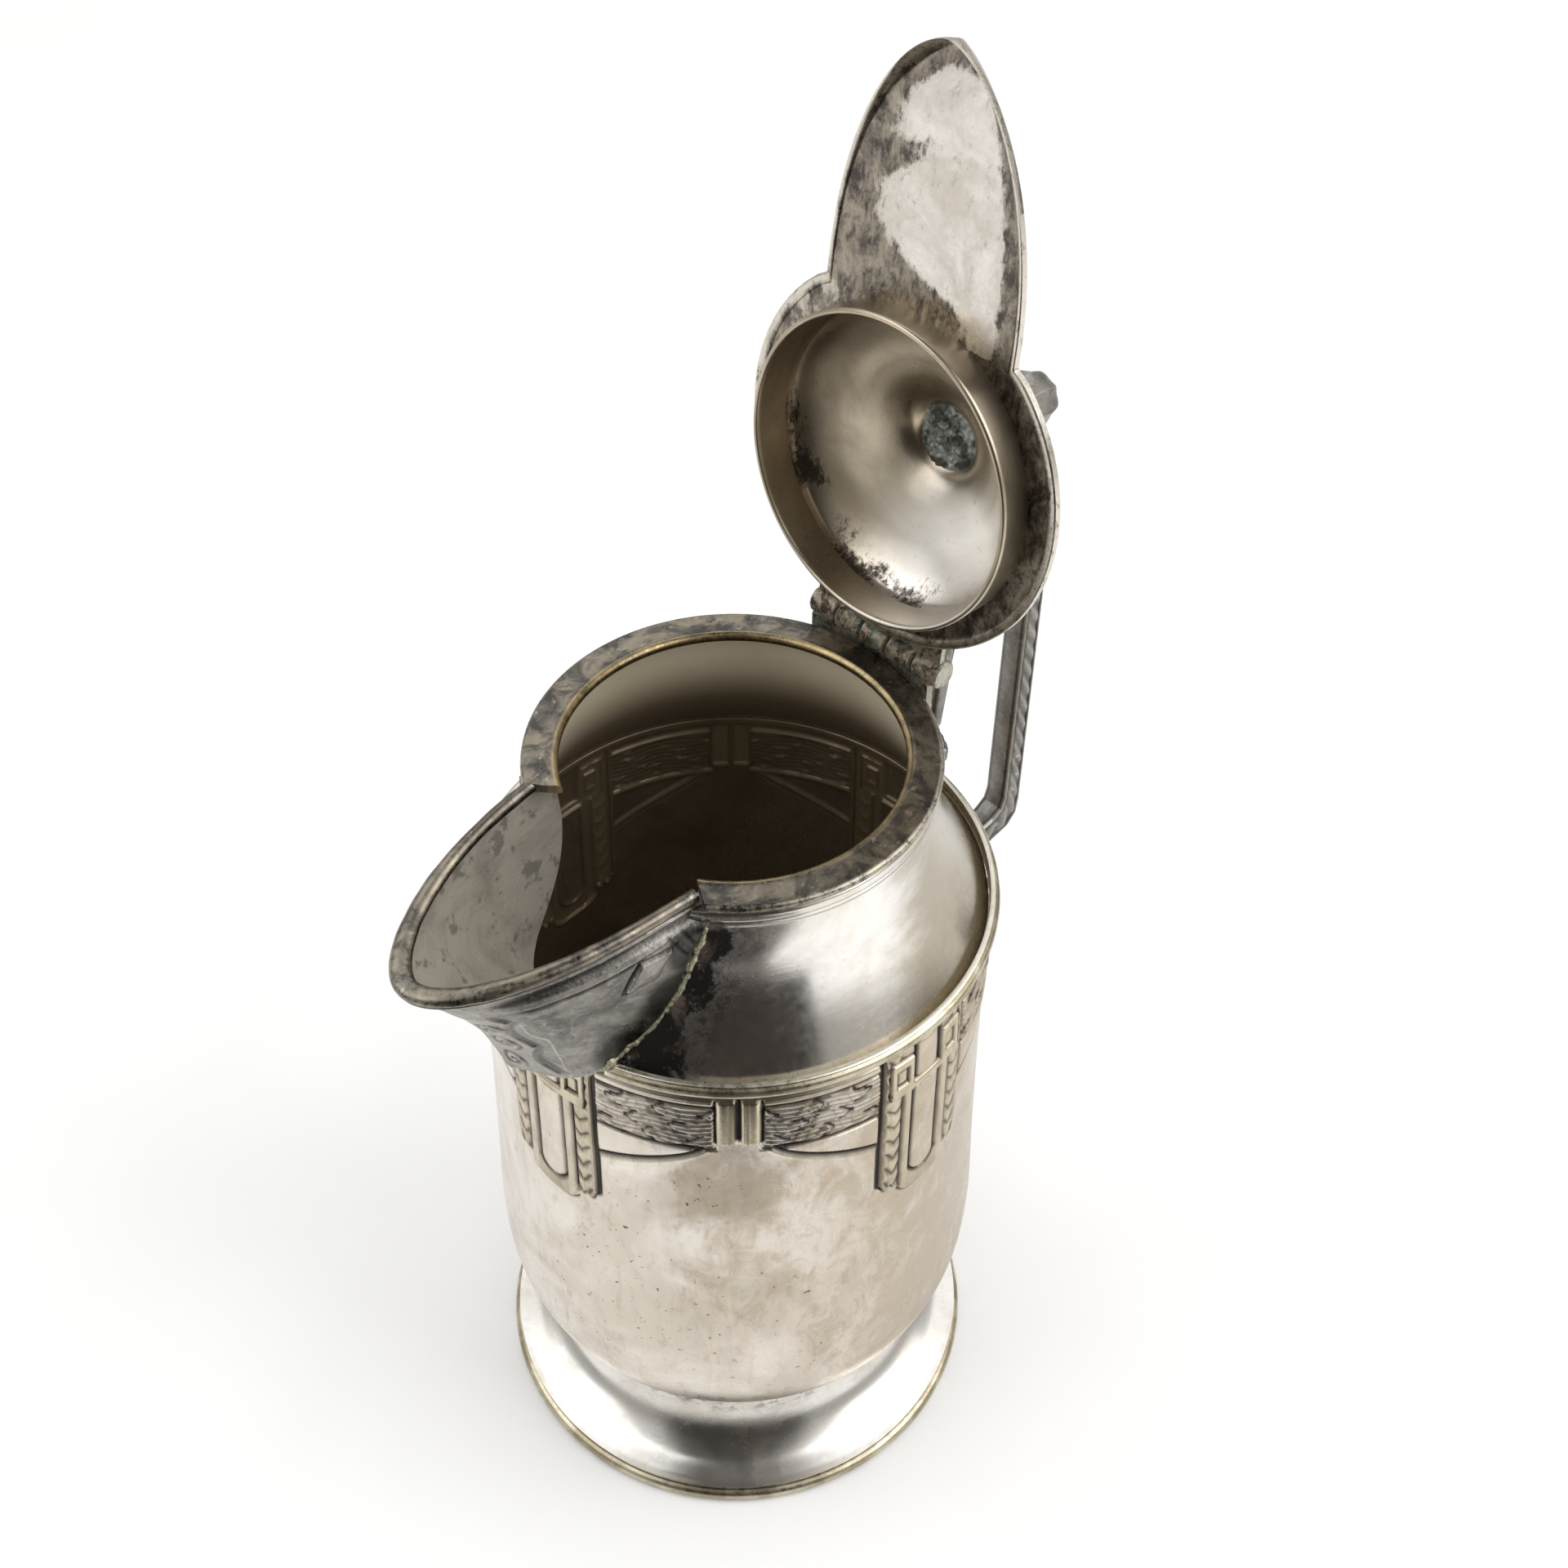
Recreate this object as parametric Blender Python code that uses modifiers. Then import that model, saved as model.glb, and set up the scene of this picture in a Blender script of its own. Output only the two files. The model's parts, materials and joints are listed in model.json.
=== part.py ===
"""Silver-plated cream jug with a hinged lid, standing open.

The jug is turned about +Z: a drawn cup, a coved shoulder, a rim ring and a flared foot.
The spout points to -X and the handle to +X.  The lid turns about an axis parallel to +Y
behind the rim; its pieces are drawn closed and then turned back by OPEN_ANGLE.
Dimensions are in millimetres and are scaled by MM.  Neighbouring pieces keep a soldered
seam of about 0.3 mm between them.  Everything hangs on one empty, which moves the jug's
axis back so that the world origin is under the middle of the whole jug.
"""

import math

import bmesh
import bpy
from mathutils import Matrix, Vector

MM = 0.001
AXIS_X = -3.606

# --- driving dimensions, millimetres -------------------------------------------------------
SEAM = 0.3
SHEET = 0.8
ROUND_STEPS = 40

CUP_OUTLINE = [
    (33.0, 99.0), (33.3, 95.0), (33.5, 88.0), (33.7, 78.0), (34.0, 66.0), (34.4, 54.0),
    (34.9, 43.0), (35.0, 37.0), (34.6, 31.0), (33.4, 26.2), (31.5, 22.4), (29.2, 19.4),
    (26.9, 17.3), (25.0, 16.3), (22.0, 15.9), (0.0, 15.9),
]

SHOULDER_EDGE_R, SHOULDER_EDGE_Z = 33.0, 100.1
SHOULDER_ROWS = 12
NECK_R, NECK_FOOT_Z, NECK_TOP_Z = 25.3, 121.0, 122.7

BEAD_IN, BEAD_OUT = 33.3, 34.5
BEAD_LOW, BEAD_HIGH = 99.2, 101.6
BEAD_ROUNDING, BEAD_STEPS = 0.55, 6
BEAD_GAP_HALF = 11.2

RIM_IN, RIM_OUT = 21.3, 25.8
RIM_LOW, RIM_HIGH = 123.0, 124.2
RIM_GAP_HALF = 14.5

HOLE_HALF, HOLE_TOP_Z, HOLE_DEPTH, HOLE_POWER = 13.2, 125.0, 22.6, 3.0
HOLE_REACH = (-46.0, -8.0)

FOOT_OUTLINE = [
    (21.5, 15.5), (24.8, 15.5), (25.5, 14.7), (26.0, 12.0), (27.0, 9.0), (28.8, 6.5),
    (31.4, 4.6), (34.0, 3.6), (35.2, 3.3),
]
EDGE_WIRE_OUTLINE = [
    (34.1, 2.2), (35.2, 2.2), (35.7, 2.0), (36.0, 1.5), (36.0, 0.8), (35.85, 0.3),
    (35.4, 0.0), (34.1, 0.0),
]

LIP_START_X, LIP_TIP_X, LIP_HALF = -22.5, -50.6, 12.9
LIP_START_Z, LIP_TIP_Z = 123.1, 121.2
LIP_WIRE_R, LIP_WIRE_STEPS, LIP_WIRE_REACH = 0.85, 24, 0.985
ROOT_ANGLE = math.radians(31.6)
ROOT_START_Z, ROOT_KEEL_Z, ROOT_KEEL_R = 121.7, 97.9, 36.9
ROOT_CLEARANCE = 0.4
SPOUT_BULGE, SPOUT_WALL = 1.6, 1.1
SPOUT_COLUMNS, SPOUT_ROWS = 28, 7

HANDLE_WIDTH, HANDLE_BEVEL = 3.9, 0.45
HANDLE_OUTLINE = [
    (36.4, 104.5), (36.9, 111.0), (37.6, 119.0), (37.9, 125.6), (38.8, 127.8), (40.9, 128.7),
    (54.9, 128.7), (57.2, 127.8), (58.2, 125.6), (58.8, 75.0), (58.5, 72.4), (56.8, 70.6),
    (35.9, 67.2), (35.9, 72.2), (52.6, 74.9), (54.4, 75.9), (55.0, 77.8), (54.8, 123.4),
    (53.4, 125.2), (42.2, 125.2), (40.7, 123.6), (39.9, 119.0), (39.1, 111.0), (38.2, 104.5),
]

BUD_CENTRE, BUD_HALF = (36.75, 0.0, 100.9), (1.75, 4.8, 3.2)
BUD_TURNS, BUD_LEVELS, BUD_POINT = 16, 10, 0.45
LEAF_R, LEAF_THICK, LEAF_HALF = 34.35, 1.15, 5.2
LEAF_LOW, LEAF_HIGH = 62.5, 77.0
LEAF_ROWS, LEAF_COLUMNS = 12, 4

HINGE_X, HINGE_Z = 26.3, 126.5
KNUCKLE_R, BORE_R, PIN_R, NOTCH_R = 1.9, 0.78, 0.7, 2.2
KNUCKLES, KNUCKLE_PITCH, KNUCKLE_GAP = 5, 4.4, 0.25
KNUCKLE_STEPS = 24
APRON_R, APRON_THICK, APRON_LOW, APRON_HIGH = 26.15, 0.9, 118.6, 125.6
APRON_HALF_ANGLE, APRON_STEPS = math.radians(22.5), 12
LID_LEAF_X, LID_LEAF_Z, LID_LEAF_HALF = (21.9, 25.6), (125.7, 126.6), 10.4

OPEN_ANGLE = math.radians(96.7)
PLATE_R, PLATE_HOLE_R, PLATE_Z, PLATE_THICK = 23.8, 19.1, 124.6, 0.8
PLATE_ARC_STEPS, PLATE_SHARES = 22, (0.0, 0.22, 0.5, 0.78, 1.0)
FLAP_START_X, FLAP_TIP_X, FLAP_HALF, FLAP_STEPS = -18.4, -51.2, 14.2, 15
FLAP_EDGE_DROP, FLAP_TIP_DROP, FLAP_EDGE_BAND = 0.05, 1.9, 2.2
BEZEL_OUTLINE = [(19.8, 124.3), (19.8, 120.5), (19.6, 120.2), (19.1, 120.2), (19.1, 124.3)]
DOME_OUTLINE = [
    (0.0, 135.8), (3.6, 135.7), (4.9, 135.3), (5.4, 134.3), (5.7, 132.9), (6.6, 132.2),
    (10.2, 131.6), (14.0, 130.6), (17.2, 129.2), (19.3, 127.7), (20.2, 126.4), (20.2, 125.75),
]
RIVET_OUTLINE, RIVET_STEPS = [(0.0, 134.6), (4.0, 134.6), (3.2, 133.4), (0.0, 133.4)], 20
KNOB_OUTLINE = [
    (0.0, 153.4), (1.9, 152.9), (3.4, 151.2), (4.0, 148.8), (3.6, 145.6), (2.5, 142.2),
    (2.1, 139.8), (2.9, 138.0), (4.2, 137.1), (4.2, 136.2), (0.0, 136.2),
]
KNOB_FACETS = 8

# --- finishes: colour, roughness ------------------------------------------------------------
SILVER = ((0.80, 0.77, 0.71), 0.24)
POLISHED = ((0.86, 0.84, 0.79), 0.12)
BRASS = ((0.74, 0.62, 0.38), 0.30)
PEWTER = ((0.42, 0.42, 0.43), 0.36)
TARNISHED = ((0.47, 0.44, 0.40), 0.38)
HINGE_METAL = ((0.50, 0.47, 0.42), 0.42)

SMOOTH_BELOW = math.radians(38.0)
MERGE = 0.00005
WELD = 0.000002


# --- scene and materials --------------------------------------------------------------------
def clear_scene():
    for thing in list(bpy.data.objects):
        bpy.data.objects.remove(thing, do_unlink=True)


def collection(name):
    group = bpy.data.collections.new(name)
    bpy.context.scene.collection.children.link(group)
    return group


def finish_of(name, colour, roughness):
    surface = bpy.data.materials.new(name)
    surface.use_nodes = True
    shader = surface.node_tree.nodes["Principled BSDF"]
    shader.inputs["Base Color"].default_value = (*colour, 1.0)
    shader.inputs["Roughness"].default_value = roughness
    shader.inputs["Metallic"].default_value = 1.0
    return surface


def add(name, data, finish, group):
    part = bpy.data.objects.new(name, data)
    group.objects.link(part)
    part.data.materials.append(finish_of(name + "_finish", *finish))
    return part


def modify(part, kind, **settings):
    modifier = part.modifiers.new(kind.title(), kind)
    for key, value in settings.items():
        setattr(modifier, key, value)


def shade(part):
    part.data.shade_smooth()
    part.data.set_sharp_from_angle(angle=SMOOTH_BELOW)


# --- shape builders -------------------------------------------------------------------------
def mesh_from(name, points, faces=(), edges=()):
    mesh = bpy.data.meshes.new(name)
    mesh.from_pydata([Vector(p) * MM for p in points], edges, faces)
    mesh.update()
    return mesh


def rewrite(mesh, edit):
    """Let edit(bmesh) change the mesh, weld it and turn its faces outward."""
    work = bmesh.new()
    work.from_mesh(mesh)
    edit(work)
    bmesh.ops.remove_doubles(work, verts=work.verts, dist=WELD)
    bmesh.ops.recalc_face_normals(work, faces=work.faces)
    work.to_mesh(mesh)
    work.free()
    return mesh


def new_mesh(name, edit):
    return rewrite(bpy.data.meshes.new(name), edit)


def turned(name, outline, finish, group, closed=False, steps=ROUND_STEPS, wall=0.0):
    """An outline at +X, running down its outer side, turned about Z; a wall grows inward."""
    points = [(r, 0.0, z) for r, z in outline]
    edges = [(i, i + 1) for i in range(len(points) - 1)]
    if closed:
        edges.append((len(points) - 1, 0))
    part = add(name, mesh_from(name, points, edges=edges), finish, group)
    modify(part, "SCREW", angle=2.0 * math.pi, steps=steps, render_steps=steps, axis="Z",
           use_merge_vertices=True, merge_threshold=MERGE, use_normal_calculate=True)
    if wall:
        modify(part, "SOLIDIFY", thickness=wall * MM, offset=-1.0, use_even_offset=True)
    return part


def baked(part):
    """Replace the modifier stack by its result."""
    graph = bpy.context.evaluated_depsgraph_get()
    mesh = bpy.data.meshes.new_from_object(part.evaluated_get(graph))
    part.modifiers.clear()
    part.data = rewrite(mesh, lambda work: None)
    return part


def outline_mesh(name, outline, middle, thickness, turn):
    """A flat outline as a filled 2D curve of this thickness, turned into its plane."""
    curve = bpy.data.curves.new(name, "CURVE")
    curve.dimensions = "2D"
    curve.fill_mode = "BOTH"
    curve.extrude = thickness / 2 * MM
    spline = curve.splines.new("POLY")
    spline.points.add(len(outline) - 1)
    for point, (a, b) in zip(spline.points, outline):
        point.co = (a * MM, b * MM, 0.0, 1.0)
    spline.use_cyclic_u = True
    holder = bpy.data.objects.new(name, curve)
    bpy.context.scene.collection.objects.link(holder)
    graph = bpy.context.evaluated_depsgraph_get()
    mesh = bpy.data.meshes.new_from_object(holder.evaluated_get(graph))
    bpy.data.objects.remove(holder)
    mesh.transform(turn @ Matrix.Translation((0.0, 0.0, middle * MM)))
    return rewrite(mesh, lambda work: None)


def block(name, xs, ys, zs):
    size = Vector((xs[1] - xs[0], ys[1] - ys[0], zs[1] - zs[0])) * MM
    middle = Vector((xs[0] + xs[1], ys[0] + ys[1], zs[0] + zs[1])) * MM / 2
    place = Matrix.Translation(middle) @ Matrix.Diagonal((*size, 1.0))
    return new_mesh(name, lambda work: bmesh.ops.create_cube(work, size=1.0, matrix=place))


def rod(name, radius, y_low, y_high):
    """A round bar along Y on the hinge axis."""
    middle = Vector((HINGE_X, (y_low + y_high) / 2, HINGE_Z)) * MM
    place = Matrix.Translation(middle) @ Matrix.Rotation(math.pi / 2, 4, "X")
    return new_mesh(name, lambda work: bmesh.ops.create_cone(
        work, cap_ends=True, segments=KNUCKLE_STEPS, radius1=radius * MM, radius2=radius * MM,
        depth=(y_high - y_low) * MM, matrix=place))


def grid_mesh(name, rows, wrap=False):
    """Quads over rows of points of equal length."""
    width = len(rows[0])
    last = width if wrap else width - 1
    faces = []
    for r in range(len(rows) - 1):
        for c in range(last):
            d = (c + 1) % width
            faces.append((r * width + c, r * width + d, (r + 1) * width + d, (r + 1) * width + c))
    return mesh_from(name, [p for row in rows for p in row], faces)


def cutter(name, mesh, group):
    tool = bpy.data.objects.new(name, mesh)
    group.objects.link(tool)
    tool.hide_render = True
    tool.display_type = "WIRE"
    return tool


def cut(part, tool, operation="DIFFERENCE"):
    modify(part, "BOOLEAN", operation=operation, object=tool, solver="EXACT")
    return part


# --- jug ------------------------------------------------------------------------------------
def shoulder_radius(z):
    """Outer radius of the coved shoulder, and of the neck above it."""
    reach = min(max((NECK_FOOT_Z - z) / (NECK_FOOT_Z - SHOULDER_EDGE_Z), 0.0), 1.0)
    return NECK_R + (SHOULDER_EDGE_R - NECK_R) * reach ** 2


def hole_outline(steps=24):
    """The spout hole in the YZ plane: an arch hanging from above the neck."""
    outline = []
    for i in range(steps + 1):
        across, down = math.cos(math.pi * i / steps), math.sin(math.pi * i / steps)
        y = math.copysign(HOLE_HALF * abs(across) ** (2 / HOLE_POWER), across)
        outline.append((y, HOLE_TOP_Z - HOLE_DEPTH * max(down, 0.0) ** (2 / HOLE_POWER)))
    return outline


def make_shoulder(group, cutters):
    outline = [(NECK_R, NECK_TOP_Z)]
    for i in range(SHOULDER_ROWS + 1):
        z = NECK_FOOT_Z - (NECK_FOOT_Z - SHOULDER_EDGE_Z) * i / SHOULDER_ROWS
        outline.append((shoulder_radius(z), z))
    shoulder = turned("shoulder_dome", outline, POLISHED, group, wall=SHEET)
    low, high = HOLE_REACH
    into_yz = Matrix(((0, 0, 1, 0), (1, 0, 0, 0), (0, 1, 0, 0), (0, 0, 0, 1)))
    hole = outline_mesh("spout_hole", hole_outline(), (low + high) / 2, high - low, into_yz)
    return cut(shoulder, cutter("spout_hole", hole, cutters))


def make_bead(group, cutters):
    middle, half = (BEAD_LOW + BEAD_HIGH) / 2, (BEAD_HIGH - BEAD_LOW) / 2
    outline = [(BEAD_IN, BEAD_HIGH)]
    for i in range(BEAD_STEPS + 1):
        turn = math.pi * (0.5 - i / BEAD_STEPS)
        radius = BEAD_OUT - BEAD_ROUNDING * (1 - math.cos(turn))
        outline.append((radius, middle + half * math.sin(turn)))
    outline.append((BEAD_IN, BEAD_LOW))
    bead = turned("shoulder_bead", outline, BRASS, group, closed=True)
    gap = block("bead_gap", (-40.0, -10.0), (-BEAD_GAP_HALF, BEAD_GAP_HALF), (95.0, 105.0))
    return cut(bead, cutter("bead_gap", gap, cutters))


def make_rim(group, cutters):
    soft = 0.3
    outline = [
        (RIM_IN + soft, RIM_HIGH - 0.05), (RIM_IN + 1.8, RIM_HIGH), (RIM_OUT - 1.4, RIM_HIGH),
        (RIM_OUT - soft, RIM_HIGH - 0.2), (RIM_OUT, RIM_HIGH - 0.6), (RIM_OUT - 0.1, RIM_LOW),
        (RIM_OUT - 0.4, RIM_LOW - 0.1), (RIM_IN + soft, RIM_LOW - 0.1), (RIM_IN, RIM_LOW + soft),
        (RIM_IN, RIM_HIGH - 0.45),
    ]
    rim = turned("rim_ring", outline, TARNISHED, group, closed=True)
    gap = block("rim_gap", (-30.0, -10.0), (-RIM_GAP_HALF, RIM_GAP_HALF), (120.0, 127.0))
    return cut(rim, cutter("rim_gap", gap, cutters))


def lip_point(turn):
    """The spout's lip under its wire; turn runs from -pi/2 at -Y to pi/2 at +Y."""
    along = abs(math.cos(turn)) ** 1.18
    side = math.copysign(abs(math.sin(turn)) ** 1.1, turn)
    x = LIP_START_X + (LIP_TIP_X - LIP_START_X) * along
    z = LIP_START_Z + (LIP_TIP_Z - LIP_START_Z) * along ** 1.5
    return Vector((x, LIP_HALF * side, z - LIP_WIRE_R))


def root_point(turn):
    """Where the spout meets the shoulder, just clear of it."""
    share = abs(turn) / (math.pi / 2)
    angle = math.copysign(ROOT_ANGLE * math.sin(share * math.pi / 2) ** 1.6, turn)
    z = ROOT_KEEL_Z + (ROOT_START_Z - ROOT_KEEL_Z) * share ** 2.6
    beside_bead = BEAD_OUT if z < BEAD_HIGH + 2 * SEAM else 0.0
    radius = max(shoulder_radius(z), beside_bead) + ROOT_CLEARANCE
    radius += (ROOT_KEEL_R - radius) * max(0.0, 1.0 - share / 0.55) ** 1.3
    return Vector((-radius * math.cos(angle), radius * math.sin(angle), z))


def spout_rows():
    """Rows of points from the lip down to the root, swelling outward between them."""
    rows = []
    for r in range(SPOUT_ROWS + 1):
        down = r / SPOUT_ROWS
        row = []
        for c in range(SPOUT_COLUMNS + 1):
            turn = math.pi * (c / SPOUT_COLUMNS - 0.5)
            outward = Vector((-math.cos(turn), math.sin(turn), -0.35)).normalized()
            swell = SPOUT_BULGE * math.sin(math.pi * down) * math.cos(turn * 0.85) ** 0.5
            swell *= 0.35 + 0.65 * abs(math.sin(turn))
            row.append(lip_point(turn).lerp(root_point(turn), down) + outward * swell)
        rows.append(row)
    return rows


def make_spout(group):
    spout = add("spout", grid_mesh("spout", spout_rows()), PEWTER, group)
    modify(spout, "SOLIDIFY", thickness=SPOUT_WALL * MM, offset=1.0, use_even_offset=True)
    return spout


def make_lip_wire(group):
    curve = bpy.data.curves.new("spout_lip_wire", "CURVE")
    curve.dimensions = "3D"
    curve.bevel_depth = LIP_WIRE_R * MM
    curve.bevel_resolution = 1
    curve.use_fill_caps = True
    spline = curve.splines.new("POLY")
    spline.points.add(LIP_WIRE_STEPS)
    rise = Vector((0.0, 0.0, LIP_WIRE_R + SEAM))
    for i, point in enumerate(spline.points):
        turn = math.pi * (i / LIP_WIRE_STEPS - 0.5) * LIP_WIRE_REACH
        point.co = (*((lip_point(turn) + rise) * MM), 1.0)
    return add("spout_lip_wire", curve, PEWTER, group)


def make_handle(group):
    """A flat bar bent to an angular loop; its outline stands in the XZ plane."""
    upright = Matrix.Rotation(math.pi / 2, 4, "X")
    mesh = outline_mesh("handle", HANDLE_OUTLINE, 0.0, HANDLE_WIDTH, upright)
    handle = add("handle", mesh, PEWTER, group)
    modify(handle, "BEVEL", width=HANDLE_BEVEL * MM, segments=2, limit_method="ANGLE",
           angle_limit=math.radians(50))
    return handle


def make_bud(group):
    """The leaf bud between the handle's leg and the shoulder edge: a drop, pointed below."""
    def drop(work):
        bmesh.ops.create_uvsphere(work, u_segments=BUD_TURNS, v_segments=BUD_LEVELS, radius=1.0)
        for vert in work.verts:
            x, y, z = vert.co
            narrow = 1.0 if z > 0 else max(1 - z * z, 0.0) ** (BUD_POINT / 2)
            shaped = (BUD_HALF[0] * x * narrow, BUD_HALF[1] * y * narrow, BUD_HALF[2] * z)
            vert.co = (Vector(BUD_CENTRE) + Vector(shaped)) * MM
    return add("handle_bud", new_mesh("handle_bud", drop), PEWTER, group)


def make_lower_leaf(group):
    """A pointed leaf lying on the cup under the handle's lower end."""
    rows = []
    for i in range(LEAF_ROWS + 1):
        share = i / LEAF_ROWS
        z = LEAF_LOW + (LEAF_HIGH - LEAF_LOW) * share
        half = LEAF_HALF * math.sin(math.pi * (0.06 + 0.88 * share)) ** 0.8
        row = []
        for k in range(LEAF_COLUMNS + 1):
            angle = half * (2 * k / LEAF_COLUMNS - 1) / LEAF_R
            row.append(Vector((LEAF_R * math.cos(angle), LEAF_R * math.sin(angle), z)))
        rows.append(row)
    leaf = add("handle_lower_leaf", grid_mesh("handle_lower_leaf", rows), PEWTER, group)
    modify(leaf, "SOLIDIFY", thickness=LEAF_THICK * MM, offset=1.0)
    return leaf


# --- hinge ----------------------------------------------------------------------------------
def knuckle_span(index):
    low = (index - KNUCKLES / 2) * KNUCKLE_PITCH
    return low + KNUCKLE_GAP / 2, low + KNUCKLE_PITCH - KNUCKLE_GAP / 2


def with_knuckles(leaf, own, other, cutters):
    """Notch a leaf round the other leaf's knuckles, join its own and bore it for the pin."""
    for index in other:
        low, high = knuckle_span(index)
        notch = rod("notch", NOTCH_R, low - KNUCKLE_GAP, high + KNUCKLE_GAP)
        cut(leaf, cutter(leaf.name + "_notch_%d" % index, notch, cutters))
    for index in own:
        knuckle = rod("knuckle", KNUCKLE_R, *knuckle_span(index))
        cut(leaf, cutter(leaf.name + "_knuckle_%d" % index, knuckle, cutters), "UNION")
    reach = KNUCKLES * KNUCKLE_PITCH
    return cut(leaf, cutter(leaf.name + "_bore", rod("bore", BORE_R, -reach, reach), cutters))


def make_body_leaf(group, cutters):
    """A curved apron behind the rim that carries the outer and the middle knuckles."""
    outline = [(APRON_R + APRON_THICK, 0.0, APRON_HIGH), (APRON_R + APRON_THICK, 0.0, APRON_LOW)]
    mesh = mesh_from("hinge_body_leaf", outline, edges=[(0, 1)])
    mesh.transform(Matrix.Rotation(-APRON_HALF_ANGLE, 4, "Z"))
    leaf = add("hinge_body_leaf", mesh, HINGE_METAL, group)
    modify(leaf, "SCREW", angle=2 * APRON_HALF_ANGLE, steps=APRON_STEPS, render_steps=APRON_STEPS,
           axis="Z", use_normal_calculate=True)
    modify(leaf, "SOLIDIFY", thickness=APRON_THICK * MM, offset=-1.0)
    return with_knuckles(leaf, range(0, KNUCKLES, 2), range(1, KNUCKLES, 2), cutters)


def make_pin(group):
    reach = KNUCKLES * KNUCKLE_PITCH / 2 - 0.1
    return add("hinge_pin", rod("hinge_pin", PIN_R, -reach, reach), HINGE_METAL, group)


def make_lid_leaf(group, cutters):
    mesh = block("hinge_lid_leaf", LID_LEAF_X, (-LID_LEAF_HALF, LID_LEAF_HALF), LID_LEAF_Z)
    leaf = add("hinge_lid_leaf", mesh, HINGE_METAL, group)
    return with_knuckles(leaf, range(1, KNUCKLES, 2), range(0, KNUCKLES, 2), cutters)


# --- lid, drawn closed ----------------------------------------------------------------------
def flap_share(x):
    """How far along the flap x lies: 0 at its start, 1 at its tip."""
    return min(max((x - FLAP_START_X) / (FLAP_TIP_X - FLAP_START_X), 0.0), 1.0)


def flap_half_width(x):
    return FLAP_HALF * (1.0 - flap_share(x) ** 2.2) ** 0.6


def plate_outline():
    """The lid plate seen from above: a disc with a pointed-arch flap over the spout."""
    join = math.acos(FLAP_START_X / PLATE_R) - 0.02
    turns = [join * i / PLATE_ARC_STEPS for i in range(-PLATE_ARC_STEPS, PLATE_ARC_STEPS + 1)]
    arc = [(PLATE_R * math.cos(turn), PLATE_R * math.sin(turn)) for turn in turns]
    side = []
    for i in range(1, FLAP_STEPS):
        along = math.sin(math.pi / 2 * i / FLAP_STEPS)
        x = FLAP_START_X + (FLAP_TIP_X - FLAP_START_X) * along
        side.append((x, flap_half_width(x)))
    return arc + side + [(FLAP_TIP_X, 0.0)] + [(x, -y) for x, y in reversed(side)]


def plate_droop(x, y):
    """How far the plate's edge is turned down at a point of its flap."""
    inset = min(max((flap_half_width(x) - abs(y)) / FLAP_EDGE_BAND, 0.0), 1.0)
    drop = FLAP_EDGE_DROP + (FLAP_TIP_DROP - FLAP_EDGE_DROP) * flap_share(x) ** 1.5
    return drop * (1.0 - inset) ** 1.5 if x < FLAP_START_X else 0.0


def make_plate(group):
    """Quads between the plate's outline and its hole, so the flap's edge can turn down."""
    outer = plate_outline()
    hole = [PLATE_HOLE_R * Vector((x, y)).normalized() for x, y in outer]
    rows = []
    for share in PLATE_SHARES:
        row = [Vector(rim).lerp(inner, share) for rim, inner in zip(outer, hole)]
        rows.append([(x, y, PLATE_Z - plate_droop(x, y)) for x, y in row])
    plate = add("lid_plate", grid_mesh("lid_plate", rows, wrap=True), TARNISHED, group)
    modify(plate, "SOLIDIFY", thickness=PLATE_THICK * MM, offset=1.0)
    return plate


def turn_back(parts):
    """Put each lid piece's origin on the hinge axis and turn it back."""
    axis = Vector((HINGE_X, 0.0, HINGE_Z)) * MM
    for part in parts:
        part.data.transform(Matrix.Translation(-axis))
        part.matrix_world = Matrix.Translation(axis) @ Matrix.Rotation(OPEN_ANGLE, 4, "Y")


def hang_on_axis(parts):
    """Parent everything to one empty on the jug's axis."""
    axis = bpy.data.objects.new("jug_axis", None)
    bpy.context.scene.collection.objects.link(axis)
    axis.location = (AXIS_X * MM, 0.0, 0.0)
    for part in parts:
        part.parent = axis


def main():
    clear_scene()
    jug = collection("cream_jug")
    cutters = collection("cutters")
    fixed = [
        turned("body_cup", CUP_OUTLINE, SILVER, jug, wall=SHEET),
        make_shoulder(jug, cutters),
        make_bead(jug, cutters),
        make_rim(jug, cutters),
        turned("foot_flare", FOOT_OUTLINE, POLISHED, jug, wall=SHEET),
        turned("foot_edge_wire", EDGE_WIRE_OUTLINE, BRASS, jug, closed=True),
        make_spout(jug),
        make_handle(jug),
        make_bud(jug),
        make_lower_leaf(jug),
        make_body_leaf(jug, cutters),
        make_pin(jug),
    ]
    make_lip_wire(jug)
    knob = turned("lid_knob", KNOB_OUTLINE, PEWTER, jug, steps=KNOB_FACETS)
    lid = [
        make_plate(jug),
        turned("lid_bezel", BEZEL_OUTLINE, SILVER, jug, closed=True),
        turned("lid_dome", DOME_OUTLINE, SILVER, jug, wall=SHEET),
        turned("knob_rivet", RIVET_OUTLINE, HINGE_METAL, jug, steps=RIVET_STEPS),
        make_lid_leaf(jug, cutters),
    ]
    turn_back([baked(part) for part in lid + [knob]])
    for part in fixed + lid:
        shade(part)
    hang_on_axis([*jug.objects, *cutters.objects])


main()
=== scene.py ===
"""Looks of the silver-plated cream jug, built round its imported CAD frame.

Shapes are drawn in millimetres round the jug's own axis, with the spout towards -X, the
handle towards +X and the lid closed.  place() moves them into the frame, and turns the
lid's pieces back about the hinge to the frame's rest pose.
"""

import json
import math

import bmesh
import bpy
import numpy as np
from mathutils import Matrix, Vector


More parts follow.
